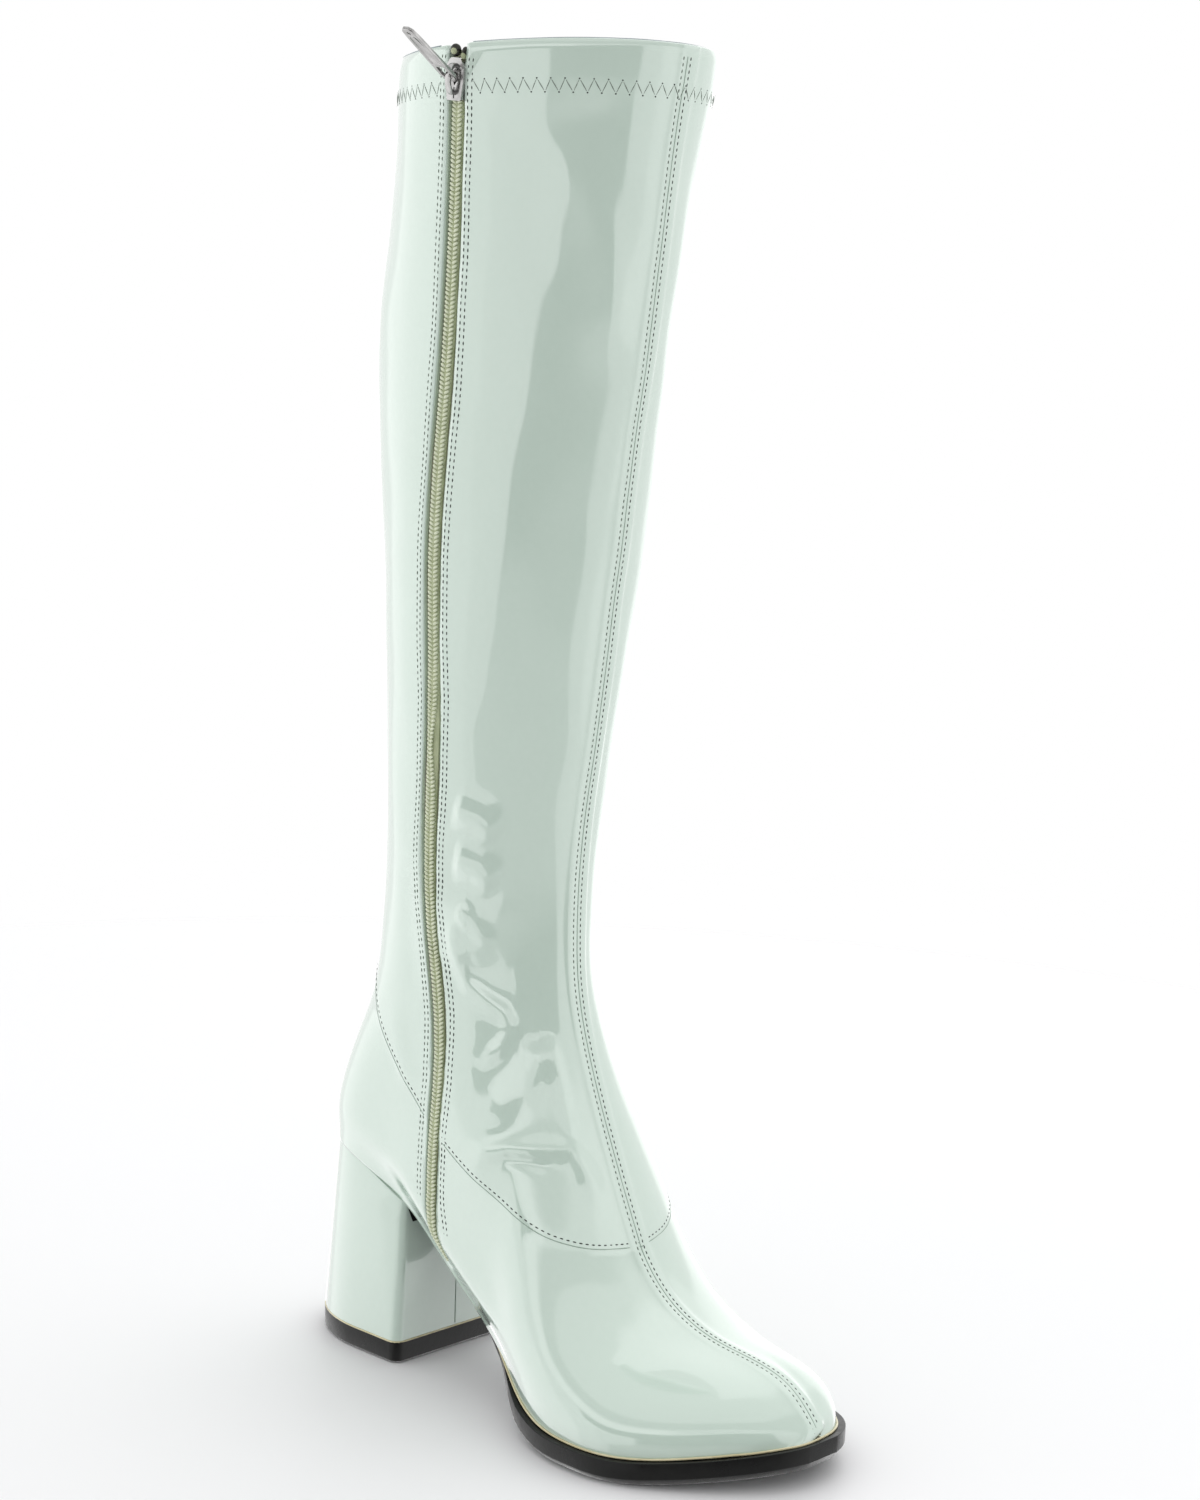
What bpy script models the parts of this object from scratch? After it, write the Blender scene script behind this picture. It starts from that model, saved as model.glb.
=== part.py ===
"""A go go boot: a knee-high patent boot with a block heel and an inner-side zip.

Metres, +Z up, +X to the toe, -Y to the inner side, where the zip is. It is a left boot.
The origin is the middle of the top-lift's underside, on the floor under the heel.
Tables hold places along the foot as shares of FOOT_LENGTH, widths as shares of BALL_WIDTH,
and places up the shaft as shares of the way from the ankle to the collar.
"""

import math

import bpy
import numpy as np

# Foot
FOOT_LENGTH = 0.2300
BALL_WIDTH = 0.0920
TOE_SWING = 0.0078
HEEL_HEIGHT = 0.0770
BREAST_SEAT_HEIGHT = 0.0610
TOE_SPRING = 0.0065
WALL_RISE = 0.0172
HEEL_SEAT_WIDTH = 0.0520
SWING_START = 0.455
SWING_POWER = 1.3
SPRING_START = 0.80
SPRING_POWER = 1.4

# Shaft
ANKLE_HEIGHT = 0.1650
COLLAR_HEIGHT = 0.4700
COLLAR_RISE = 0.0030
ANKLE_LENGTH = 0.0910
ANKLE_WIDTH = 0.0560
COLLAR_LENGTH = 0.1176
COLLAR_WIDTH = 0.0945
BACK_JOIN = 1.05
FOOT_JOIN_START = 0.05
FOOT_JOIN_SPAN = 0.85

# Upper's leather and its raised lines
UPPER_WALL = 0.0014
PANEL_STEP = 0.0005
SEAM_WIDTH = 0.0080
SEAM_STEP = 0.0005
HEM_DEPTH = 0.0140
HEM_STEP = 0.0005
STEP_SLOPE = 0.0005
SLOT_WIDTH = 0.0084

# Bottom pieces
WELT_REACH = 0.0028
SOLE_EDGE = 0.0080
SOLE_WAIST = 0.0034
SOLE_ROUND = 0.0024
WAIST_INSET = 0.0012
WAIST_END = 0.42
WAIST_FADE = 0.20
HEEL_LENGTH = 0.0575
HEEL_BASE_WIDTH = 0.0552
HEEL_BACK_FLARE = 0.0030
HEEL_CORNER = 0.0040
HEEL_SEAT_INSET = 0.0004
HEEL_TOP_NARROWER = 0.0015
SEAT_ROUNDNESS = 1.15
BLOCK_ROUNDNESS = 1.32
TOP_LIFT = 0.0078
TOP_LIFT_PROUD = 0.0002
TOP_LIFT_BEVEL = 0.0006
INSOLE = 0.0025

# Zip
TAPE_WIDTH = 0.0240
TAPE = 0.0008
CHAIN_WIDTH = 0.0052
CHAIN_PROUD = 0.0003
SLIDER_LENGTH = 0.0124
SLIDER_WIDTH = 0.0076
SLIDER_PLATE = 0.0010
SLIDER_CHAMFER = 0.0006
SLIDER_BELOW_COLLAR = 0.0108
BRIDGE_HEIGHT = 0.0036
BRIDGE_WIDTH = 0.0018
BRIDGE_BAR = 0.0011
PULL_LENGTH = 0.0270
PULL_WIDTH = 0.0068
PULL_SLOT = 0.0030
PULL_THICKNESS = 0.0011
PULL_END = 0.0042
PULL_LIFT_DEG = 35.0

# Clearances
GAP = 0.0003
SOLE_GAP = 0.0005
SLIDER_CLEARANCE = 0.0004
INSOLE_CLEARANCE = 0.0016

# Mesh density
BACK_SPANS = 9
FRONT_SPANS = 16
OUTER_SPANS = 28
RING_SAMPLES = 160
SOLE_SAMPLES = 56
TOE_CROWDING = 1.08
TAPE_START = 1.0
CHAIN_START = 1.35
TAPE_SHORT_OF_COLLAR = 0.1
ZIP_SAMPLES = 34

HEEL_REST_X = 0.5 * HEEL_LENGTH
FEATHER_END = 0.9965

# Plan of the feather line: place along the foot, inner and outer half-width from the centre line.
# A width of 0 is where the outline closes at the toe. The rows of the heel follow HEEL_SEAT_WIDTH.
PLAN_COLUMNS = ("along", "inner", "outer")
PLAN = (
    (0.00, 0.283, 0.283),
    (0.15, 0.283, 0.283),
    (0.25, 0.262, 0.278),
    (0.33, 0.266, 0.288),
    (0.42, 0.272, 0.325),
    (0.49, 0.306, 0.372),
    (0.55, 0.385, 0.415),
    (0.60, 0.452, 0.438),
    (0.65, 0.502, 0.452),
    (0.70, 0.531, 0.455),
    (0.76, 0.540, 0.446),
    (0.81, 0.508, 0.424),
    (0.87, 0.422, 0.384),
    (0.92, 0.325, 0.315),
    (0.965, 0.212, 0.214),
    (1.00, 0.0, 0.0),
)

# How much wider than the feather line the foot is above it, as shares of BALL_WIDTH.
BULGE_COLUMNS = ("along", "inner", "outer")
BULGE = (
    (0.00, 0.020, 0.020),
    (0.15, 0.035, 0.035),
    (0.30, 0.085, 0.070),
    (0.42, 0.095, 0.060),
    (0.55, 0.040, 0.030),
    (0.70, 0.010, 0.014),
    (1.00, 0.006, 0.006),
)

# Feather line from the side: place along the foot, and height as a share of the drop
# from the seat at the heel's back to the ball.
BOTTOM_COLUMNS = ("along", "drop")
BOTTOM = (
    (0.00, 0.000),
    (0.12, 0.060),
    (0.25, 0.245),
    (0.34, 0.470),
    (0.43, 0.690),
    (0.52, 0.868),
    (0.60, 0.965),
    (0.68, 1.000),
    (0.80, 1.000),
)

# Ridge of the foot from the toe box to the ankle: angle about a pivot in front of the ankle,
# from straight ahead, reach from that pivot as a share of FOOT_LENGTH, and depth of the rounding
# over the ridge as a share of half the ankle's length.
PIVOT_ALONG = 0.870
RIDGE_COLUMNS = ("angle", "reach", "rounding")
RIDGE = (
    (180.0, 0.366, 1.00),
    (189.0, 0.367, 0.99),
    (198.6, 0.369, 0.97),
    (211.1, 0.378, 0.93),
    (223.6, 0.401, 0.87),
    (235.7, 0.448, 0.78),
    (244.2, 0.497, 0.69),
    (249.9, 0.527, 0.62),
    (255.7, 0.547, 0.56),
    (262.2, 0.560, 0.51),
    (267.2, 0.564, 0.47),
    (273.3, 0.571, 0.42),
    (276.9, 0.590, 0.34),
    (279.2, 0.617, 0.24),
    (280.6, 0.644, 0.13),
    (281.6, 0.661, 0.02),
)

# Back of the heel from the seat to the ankle: share of the way up, and set-in from the heel's back
# as a share of the ankle's set-in.
COUNTER_COLUMNS = ("up", "set_in")
COUNTER = (
    (0.00, 0.11),
    (0.10, 0.13),
    (0.22, 0.21),
    (0.37, 0.38),
    (0.52, 0.60),
    (0.68, 0.82),
    (0.84, 0.95),
    (1.00, 1.00),
)

# Shaft: share of the way up, middle of the section as a share of FOOT_LENGTH, and how far its length
# and its width have gone from the ankle's to the collar's.
SHAFT_COLUMNS = ("up", "middle", "length", "width")
SHAFT = (
    (0.000, 0.3070, 0.00, 0.00),
    (0.066, 0.3122, -0.10, 0.07),
    (0.114, 0.3170, -0.12, 0.17),
    (0.180, 0.3213, -0.02, 0.29),
    (0.278, 0.3322, 0.15, 0.45),
    (0.376, 0.3396, 0.31, 0.57),
    (0.474, 0.3465, 0.51, 0.66),
    (0.572, 0.3500, 0.69, 0.70),
    (0.670, 0.3548, 0.97, 0.68),
    (0.768, 0.3691, 1.06, 0.71),
    (0.866, 0.3904, 0.98, 0.80),
    (0.954, 0.4087, 1.00, 0.95),
    (1.000, 0.4174, 1.00, 1.00),
)

# Rings of the upper from the feather line to the ankle: share of the way up the heel's back,
# share of the way along the ridge from the toe to the ankle, how much of the feather line's
# sag the ring keeps, and how far it dips under the ankle as a share of HEEL_HEIGHT.
RINGS_COLUMNS = ("back", "front", "sag", "dip")
RINGS = (
    (0.000, 0.000, 1.00, 0.000),
    (0.045, 0.020, 0.97, 0.001),
    (0.100, 0.045, 0.93, 0.005),
    (0.165, 0.080, 0.87, 0.015),
    (0.235, 0.125, 0.79, 0.032),
    (0.310, 0.180, 0.70, 0.055),
    (0.395, 0.240, 0.60, 0.082),
    (0.485, 0.300, 0.50, 0.110),
    (0.575, 0.360, 0.40, 0.135),
    (0.670, 0.418, 0.30, 0.155),
    (0.760, 0.472, 0.20, 0.165),
    (0.840, 0.545, 0.12, 0.145),
    (0.905, 0.630, 0.07, 0.105),
    (0.960, 0.730, 0.03, 0.060),
    (1.000, 0.850, 0.01, 0.022),
)
VAMP_RING = 10
SHAFT_RINGS = 17

# Zip line on the inner side: height as a share of the way from the ankle to the collar
# (below 0 under the ankle) and place along the foot.
ZIP_COLUMNS = ("up", "along")
ZIP = (
    (-0.430, 0.372),
    (-0.400, 0.362),
    (-0.360, 0.353),
    (-0.310, 0.349),
    (-0.243, 0.350),
    (-0.176, 0.351),
    (-0.095, 0.341),
    (-0.047, 0.326),
    (0.039, 0.311),
    (0.102, 0.318),
    (0.184, 0.334),
    (0.279, 0.349),
    (0.371, 0.354),
    (0.449, 0.358),
    (0.530, 0.368),
    (0.619, 0.378),
    (0.728, 0.388),
    (0.836, 0.400),
    (0.945, 0.417),
    (1.000, 0.426),
)


def column(table, names, name):
    """One named column of a table, as an array."""
    return np.array([row[names.index(name)] for row in table])


def smooth_curve(xs, ys, at):
    """Monotone cubic through the rows of a table, held level past its ends."""
    xs = np.asarray(xs, float)
    ys = np.asarray(ys, float)
    steps = np.diff(xs)
    slopes = np.diff(ys) / steps
    rates = np.zeros_like(ys)
    for i in range(1, len(xs) - 1):
        before, after = slopes[i - 1], slopes[i]
        if before * after > 0.0:
            first = 2.0 * steps[i] + steps[i - 1]
            second = steps[i] + 2.0 * steps[i - 1]
            rates[i] = (first + second) / (first / before + second / after)
    rates[0] = slopes[0]
    rates[-1] = slopes[-1]
    at = np.clip(np.asarray(at, float), xs[0], xs[-1])
    index = np.clip(np.searchsorted(xs, at, side="right") - 1, 0, len(steps) - 1)
    width = steps[index]
    part = (at - xs[index]) / width
    return (
        ys[index] * (1 + 2 * part) * (1 - part) ** 2
        + rates[index] * width * part * (1 - part) ** 2
        + ys[index + 1] * part**2 * (3 - 2 * part)
        + rates[index + 1] * width * part**2 * (part - 1)
    )


def read(table, names, key, name, at):
    """A column of a table read at places of its key column."""
    return smooth_curve(column(table, names, key), column(table, names, name), at)


def ease(value):
    """A soft step from 0 to 1."""
    value = np.clip(value, 0.0, 1.0)
    return value * value * (3.0 - 2.0 * value)


def rounding(distance, radius):
    """Share of the full half-width at a distance in from the edge of a round section."""
    share = np.clip(distance / np.maximum(radius, 1e-6), 0.0, 1.0)
    return np.sqrt(1.0 - (1.0 - share) ** 2)


def centre_line(x):
    """Sideways place of the foot's centre line, which swings outwards to the toe."""
    start = SWING_START * FOOT_LENGTH
    part = np.clip((x - start) / (FOOT_LENGTH - start), 0.0, None)
    return TOE_SWING * part**SWING_POWER


def ball_height():
    """Height of the feather line over the ball, on the sole's edge."""
    return SOLE_EDGE + SOLE_GAP


def bottom_height(x):
    """Height of the feather line at a place along the foot."""
    along = x / FOOT_LENGTH
    drop = read(BOTTOM, BOTTOM_COLUMNS, "along", "drop", along)
    breast = read(BOTTOM, BOTTOM_COLUMNS, "along", "drop", HEEL_LENGTH / FOOT_LENGTH)
    low = ball_height()
    back_part = HEEL_HEIGHT - (HEEL_HEIGHT - BREAST_SEAT_HEIGHT) * drop / breast
    front_part = low + (BREAST_SEAT_HEIGHT - low) * (1.0 - drop) / (1.0 - breast)
    spring = TOE_SPRING * np.clip((along - SPRING_START) / (1.0 - SPRING_START), 0.0, None) ** SPRING_POWER
    return np.where(drop < breast, back_part, front_part) + spring


def plan_half_width(x, side):
    """Half-width of the feather line, read on its square so that the toe closes round."""
    key = column(PLAN, PLAN_COLUMNS, "along")
    width = column(PLAN, PLAN_COLUMNS, side)
    heel_share = 0.5 * HEEL_SEAT_WIDTH / BALL_WIDTH
    width = np.where(key < 0.2, heel_share, width)
    squares = smooth_curve(key, width**2, x / FOOT_LENGTH)
    return BALL_WIDTH * np.sqrt(np.maximum(squares, 0.0))


def shaft_section(z):
    """Middle, half-length and half-width of the shaft at a height."""
    up = (z - ANKLE_HEIGHT) / (COLLAR_HEIGHT - ANKLE_HEIGHT)
    middle = FOOT_LENGTH * read(SHAFT, SHAFT_COLUMNS, "up", "middle", up)
    longer = read(SHAFT, SHAFT_COLUMNS, "up", "length", up)
    wider = read(SHAFT, SHAFT_COLUMNS, "up", "width", up)
    half_length = 0.5 * (ANKLE_LENGTH + (COLLAR_LENGTH - ANKLE_LENGTH) * longer)
    half_width = 0.5 * (ANKLE_WIDTH + (COLLAR_WIDTH - ANKLE_WIDTH) * wider)
    return middle, half_length, half_width


def back_line(z):
    """Place along the foot of the boot's back at a height."""
    middle, half_length, _ = shaft_section(np.maximum(z, ANKLE_HEIGHT))
    ankle_middle, ankle_half, _ = shaft_section(ANKLE_HEIGHT)
    ankle_back = ankle_middle - ankle_half
    up = (z - HEEL_HEIGHT) / (ANKLE_HEIGHT - HEEL_HEIGHT)
    set_in = read(COUNTER, COUNTER_COLUMNS, "up", "set_in", up)
    return np.where(z >= ANKLE_HEIGHT, middle - half_length, ankle_back * set_in)


def ridge_scale():
    """Factors that fit the ridge's table to the ankle's front and the toe box."""
    middle, half_length, _ = shaft_section(ANKLE_HEIGHT)
    ahead = PIVOT_ALONG * FOOT_LENGTH - (middle + half_length)
    first = RIDGE[0][1] * FOOT_LENGTH
    last_angle = math.radians(RIDGE[-1][0])
    last = RIDGE[-1][1] * FOOT_LENGTH
    toe_height = float(bottom_height(FOOT_LENGTH)) + 0.05 * WALL_RISE
    fall = (ANKLE_HEIGHT - toe_height) / (-math.sin(last_angle) * last)
    return ahead / first, fall


def ridge_point(angle):
    """Side-view place of the ridge at an angle about the pivot, and its rounding depth."""
    ahead, fall = ridge_scale()
    reach = FOOT_LENGTH * read(RIDGE, RIDGE_COLUMNS, "angle", "reach", angle)
    turn = np.radians(angle)
    x = np.cos(turn) * reach
    x = PIVOT_ALONG * FOOT_LENGTH + np.where(x < 0.0, x * ahead, x)
    z = ANKLE_HEIGHT + np.sin(turn) * reach * fall
    share = column(RIDGE, RIDGE_COLUMNS, "rounding") ** 2
    depth = np.sqrt(np.maximum(smooth_curve(column(RIDGE, RIDGE_COLUMNS, "angle"), share, angle), 0.0))
    return x, z, 0.5 * ANKLE_LENGTH * depth


def front_edge(x, z):
    """Distance in from the boot's front, and the rounding's depth there."""
    middle, half_length, _ = shaft_section(np.maximum(z, ANKLE_HEIGHT))
    ahead, fall = ridge_scale()
    out_x = x - PIVOT_ALONG * FOOT_LENGTH
    out_x = np.where(out_x < 0.0, out_x / ahead, out_x)
    out_z = np.minimum(z - ANKLE_HEIGHT, 0.0) / fall
    angle = np.degrees(np.arctan2(out_z, out_x)) % 360.0
    angle = np.where(z >= ANKLE_HEIGHT, 180.0, np.clip(angle, 180.0, RIDGE[-1][0]))
    edge_x, edge_z, depth = ridge_point(angle)
    pivot_x = PIVOT_ALONG * FOOT_LENGTH
    whole = np.hypot(x - pivot_x, z - ANKLE_HEIGHT)
    edge = np.hypot(edge_x - pivot_x, edge_z - ANKLE_HEIGHT)
    shaft = middle + half_length - x
    return np.where(z >= ANKLE_HEIGHT, shaft, whole - edge), np.where(z >= ANKLE_HEIGHT, half_length, depth)


def half_width(x, z, side):
    """Half-width of the boot at a side-view place, from its centre line."""
    along = x / FOOT_LENGTH
    fullness = ease((z - bottom_height(x)) / WALL_RISE)
    bulge = BALL_WIDTH * read(BULGE, BULGE_COLUMNS, "along", side, along)
    flat = plan_half_width(x, side)
    closing = np.clip(flat / (0.2 * BALL_WIDTH), 0.0, 1.0)
    foot = flat + bulge * fullness * closing
    _, _, shaft = shaft_section(np.maximum(z, ANKLE_HEIGHT))
    rise = (z - HEEL_HEIGHT) / (ANKLE_HEIGHT - HEEL_HEIGHT)
    up = (rise - FOOT_JOIN_START) / FOOT_JOIN_SPAN
    widest = foot + (shaft - foot) * ease(up)
    in_front, front_depth = front_edge(x, z)
    _, back_depth, _ = shaft_section(np.maximum(z, ANKLE_HEIGHT))
    heel_depth = 0.5 * HEEL_SEAT_WIDTH * SEAT_ROUNDNESS
    back_depth = heel_depth + (back_depth - heel_depth) * ease(up)
    at_back = x - back_line(z)
    return widest * rounding(in_front, front_depth) * rounding(at_back, back_depth)


def ridge_walk(share):
    """Side-view place a share of the way along the ridge, from the toe's feather line to the ankle."""
    angles = np.linspace(RIDGE[-1][0], RIDGE[0][0], 400)
    xs, zs, _ = ridge_point(angles)
    toe_x = FEATHER_END * FOOT_LENGTH
    toe_z = float(bottom_height(toe_x))
    xs = np.concatenate([[toe_x], xs])
    zs = np.concatenate([[toe_z], zs])
    walked = np.concatenate([[0.0], np.cumsum(np.hypot(np.diff(xs), np.diff(zs)))])
    return np.interp(share * walked[-1], walked, xs), np.interp(share * walked[-1], walked, zs)


def ring_profile(level):
    """Side-view line of one ring from back to front. Levels count the rows of RINGS, then the shaft."""
    spread = 0.5 - 0.5 * np.cos(np.linspace(0.0, math.pi, RING_SAMPLES))
    last = len(RINGS) - 1
    if level <= last:
        rows = np.arange(len(RINGS))
        back = smooth_curve(rows, column(RINGS, RINGS_COLUMNS, "back"), level)
        front = smooth_curve(rows, column(RINGS, RINGS_COLUMNS, "front"), level)
        sag = smooth_curve(rows, column(RINGS, RINGS_COLUMNS, "sag"), level)
        dip = smooth_curve(rows, column(RINGS, RINGS_COLUMNS, "dip"), level)
        back_z = HEEL_HEIGHT + (ANKLE_HEIGHT * BACK_JOIN - HEEL_HEIGHT) * back
        front_x, front_z = ridge_walk(front)
    else:
        part = (level - last) / SHAFT_RINGS
        sag = 0.0
        dip = RINGS[-1][3] * max(0.0, 1.0 - part * 8.0)
        start_back = ANKLE_HEIGHT * BACK_JOIN
        start_front = float(ridge_walk(RINGS[-1][1])[1])
        top_back = COLLAR_HEIGHT - COLLAR_RISE * 0.5
        top_front = COLLAR_HEIGHT + COLLAR_RISE * 0.5
        lead = ease(min(1.0, part * 3.0))
        back_z = start_back + (top_back - start_back) * (0.75 * part + 0.25 * part**1.4)
        front_even = start_front + (top_front - start_front) * part**0.92
        front_z = front_even * lead + (start_front + (top_front - start_front) * part) * (1 - lead)
        middle, half_length, _ = shaft_section(max(front_z, ANKLE_HEIGHT))
        front_x = middle + half_length
        if front_z < ANKLE_HEIGHT:
            share = RINGS[-1][1] + (1.0 - RINGS[-1][1]) * (front_z - start_front) / (ANKLE_HEIGHT - start_front)
            front_x, front_z = ridge_walk(share)
    back_x = float(back_line(back_z))
    x = back_x + (front_x - back_x) * spread
    z = back_z + (front_z - back_z) * spread
    low_back, low_front = float(back_line(HEEL_HEIGHT)), FEATHER_END * FOOT_LENGTH
    low_x = low_back + (low_front - low_back) * spread
    straight = HEEL_HEIGHT + (float(bottom_height(low_front)) - HEEL_HEIGHT) * spread
    hollow = 6.75 * spread * (1.0 - spread) ** 2
    z = z + sag * (bottom_height(low_x) - straight) - dip * HEEL_HEIGHT * hollow
    return x, z


class Ring:
    """One closed line round the upper, measured from the middle of the zip, forwards."""

    def __init__(self, level):
        x, z = ring_profile(level)
        middle = centre_line(x)
        inner = middle - half_width(x, z, "inner")
        outer = middle + half_width(x, z, "outer")
        points = [np.stack([x, inner, z], axis=1), np.stack([x, outer, z], axis=1)[-2:0:-1]]
        self.points = np.concatenate(points)
        closed = np.vstack([self.points, self.points[:1]])
        lengths = np.linalg.norm(np.diff(closed, axis=0), axis=1)
        self.walked = np.concatenate([[0.0], np.cumsum(lengths)])
        self.closed = closed
        self.around = self.walked[-1]
        self.front = self.walked[RING_SAMPLES - 1]
        up = (z - ANKLE_HEIGHT) / (COLLAR_HEIGHT - ANKLE_HEIGHT)
        zip_x = FOOT_LENGTH * read(ZIP, ZIP_COLUMNS, "up", "along", up)
        ahead = x - zip_x
        crossing = int(np.argmax(ahead >= 0.0))
        before, after = ahead[crossing - 1], ahead[crossing]
        part = -before / (after - before)
        self.zip = self.walked[crossing - 1] + part * (self.walked[crossing] - self.walked[crossing - 1])

    def at(self, places):
        """Points at places along the ring, from the back."""
        places = np.mod(places, self.around)
        return np.stack([np.interp(places, self.walked, self.closed[:, i]) for i in range(3)], axis=1)


def upper_levels():
    """Levels of the upper's rings, doubled where the wall steps at the vamp line and the hem."""
    last = len(RINGS) - 1
    top = last + SHAFT_RINGS
    ring_height = (COLLAR_HEIGHT - ANKLE_HEIGHT) / SHAFT_RINGS
    hem = top - HEM_DEPTH / ring_height
    levels = [float(i) for i in range(last + 1)] + [last + 1.0 + i for i in range(SHAFT_RINGS)]
    levels = [value for value in levels if abs(value - hem) > 0.35]
    step = STEP_SLOPE / ring_height
    levels += [VAMP_RING + 4.0 * step, hem, hem + step]
    return sorted(levels), hem


def upper_places(ring):
    """Places round a ring of the upper's columns: zip slot, front seam and the spans between."""
    half_slot = 0.5 * SLOT_WIDTH
    half_seam = 0.5 * SEAM_WIDTH
    seam = ring.front + np.array([-half_seam - STEP_SLOPE, -half_seam, 0.0, half_seam, half_seam + STEP_SLOPE])
    back = np.linspace(0.0, ring.zip - half_slot, BACK_SPANS + 1)
    closer = np.linspace(0.0, 1.0, FRONT_SPANS + 1) ** (1.0 / TOE_CROWDING)
    front = ring.zip + half_slot + (seam[0] - ring.zip - half_slot) * closer
    closer = np.linspace(0.0, 1.0, OUTER_SPANS + 1)[1:-1] ** TOE_CROWDING
    outer = seam[-1] + (ring.around - seam[-1]) * closer
    return np.concatenate([back, front[:-1], seam, outer])


def grid_normals(points, closed):
    """Outward normals of a grid of points, rings by columns."""
    if closed:
        along = np.roll(points, -1, axis=1) - np.roll(points, 1, axis=1)
    else:
        along = np.gradient(points, axis=1)
    up = np.gradient(points, axis=0)
    normals = np.cross(along, up)
    return normals / np.maximum(np.linalg.norm(normals, axis=2), 1e-12)[:, :, None]


def walled_sheet(outer, inner, closed, keep):
    """Vertices and faces of a closed wall between two grids, with the cells that keep allows."""
    rings, columns = outer.shape[:2]
    spans = columns if closed else columns - 1
    vertices = np.concatenate([outer.reshape(-1, 3), inner.reshape(-1, 3)])
    shift = rings * columns
    used = {(r, c) for r in range(rings - 1) for c in range(spans) if keep(r, c)}
    faces = []
    for r, c in sorted(used):
        d = (c + 1) % columns
        a, b, e, f = r * columns + c, r * columns + d, (r + 1) * columns + d, (r + 1) * columns + c
        faces.append((a, b, e, f))
        faces.append((shift + a, shift + f, shift + e, shift + b))
        left, right = (c - 1) % columns if closed else c - 1, (c + 1) % columns if closed else c + 1
        if (r - 1, c) not in used:
            faces.append((b, a, shift + a, shift + b))
        if (r + 1, c) not in used:
            faces.append((f, e, shift + e, shift + f))
        if (r, left) not in used:
            faces.append((a, f, shift + f, shift + a))
        if (r, right) not in used:
            faces.append((e, b, shift + b, shift + e))
    return vertices, faces


def make_object(name, vertices, faces, material, parent, smooth_deg=40.0):
    """A mesh object from vertices and faces, without the points that no face uses."""
    used = sorted({index for face in faces for index in face})
    place = {index: i for i, index in enumerate(used)}
    mesh = bpy.data.meshes.new(name)
    mesh.from_pydata(
        [tuple(vertices[i]) for i in used], [], [tuple(place[i] for i in face) for face in faces]
    )
    mesh.shade_smooth()
    mesh.set_sharp_from_angle(angle=math.radians(smooth_deg))
    mesh.materials.append(material)
    piece = bpy.data.objects.new(name, mesh)
    bpy.context.scene.collection.objects.link(piece)
    piece.parent = parent
    return piece


def make_material(name, colour, roughness, metallic=0.0):
    """A plain Principled material."""
    material = bpy.data.materials.new(name)
    material.use_nodes = True
    shader = material.node_tree.nodes["Principled BSDF"]
    shader.inputs["Base Color"].default_value = (*colour, 1.0)
    shader.inputs["Roughness"].default_value = roughness
    shader.inputs["Metallic"].default_value = metallic
    return material


def make_upper(material, parent):
    """The hollow upper: vamp, counter and shaft in one wall, open for the zip and at both ends."""
    levels, hem = upper_levels()
    rings = [Ring(level) for level in levels]
    points = np.array([ring.at(upper_places(ring)) for ring in rings])
    normals = grid_normals(points, closed=True)
    normals[0, :, 2] = 0.0
    normals[0] /= np.linalg.norm(normals[0], axis=1)[:, None]
    seam_middle = BACK_SPANS + 1 + FRONT_SPANS + 2
    proud = np.zeros(points.shape[:2])
    for r, level in enumerate(levels):
        if level > VAMP_RING:
            proud[r, :] += PANEL_STEP
        if level > hem:
            proud[r, :] += HEM_STEP
        proud[r, seam_middle - 1 : seam_middle + 2] += SEAM_STEP
    outer = points + normals * proud[:, :, None]
    inner = points - normals * UPPER_WALL
    slot_column = BACK_SPANS
    slot_start = 1
    vertices, faces = walled_sheet(
        outer, inner, True, lambda r, c: not (c == slot_column and r >= slot_start)
    )
    return make_object("upper", vertices, faces, material, parent)


def zip_strip(offsets, levels, outer_depth, inner_depth):
    """Two grids of a strip that follows the zip line at depths below the upper's surface."""
    rings = [Ring(level) for level in levels]
    points = np.array([ring.at(ring.zip + np.asarray(offsets)) for ring in rings])
    normals = grid_normals(points, closed=False)
    return points - normals * outer_depth, points - normals * inner_depth


def slider_level():
    """Level of the slider's middle on the zip."""
    top = len(RINGS) - 1 + SHAFT_RINGS
    ring_height = (COLLAR_HEIGHT - ANKLE_HEIGHT) / SHAFT_RINGS
    return top - SLIDER_BELOW_COLLAR / ring_height


def make_tape(material, parent):
    """The zip's tape, just inside the slot."""
    top = len(RINGS) - 1 + SHAFT_RINGS
    half = 0.5 * TAPE_WIDTH
    offsets = np.linspace(-half, half, 5)
    face = UPPER_WALL + GAP
    levels = np.linspace(TAPE_START, top - TAPE_SHORT_OF_COLLAR, ZIP_SAMPLES)
    outer, inner = zip_strip(offsets, levels, face, face + TAPE)
    vertices, faces = walled_sheet(outer, inner, False, lambda r, c: True)
    return make_object("zip-tape", vertices, faces, material, parent)


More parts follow.
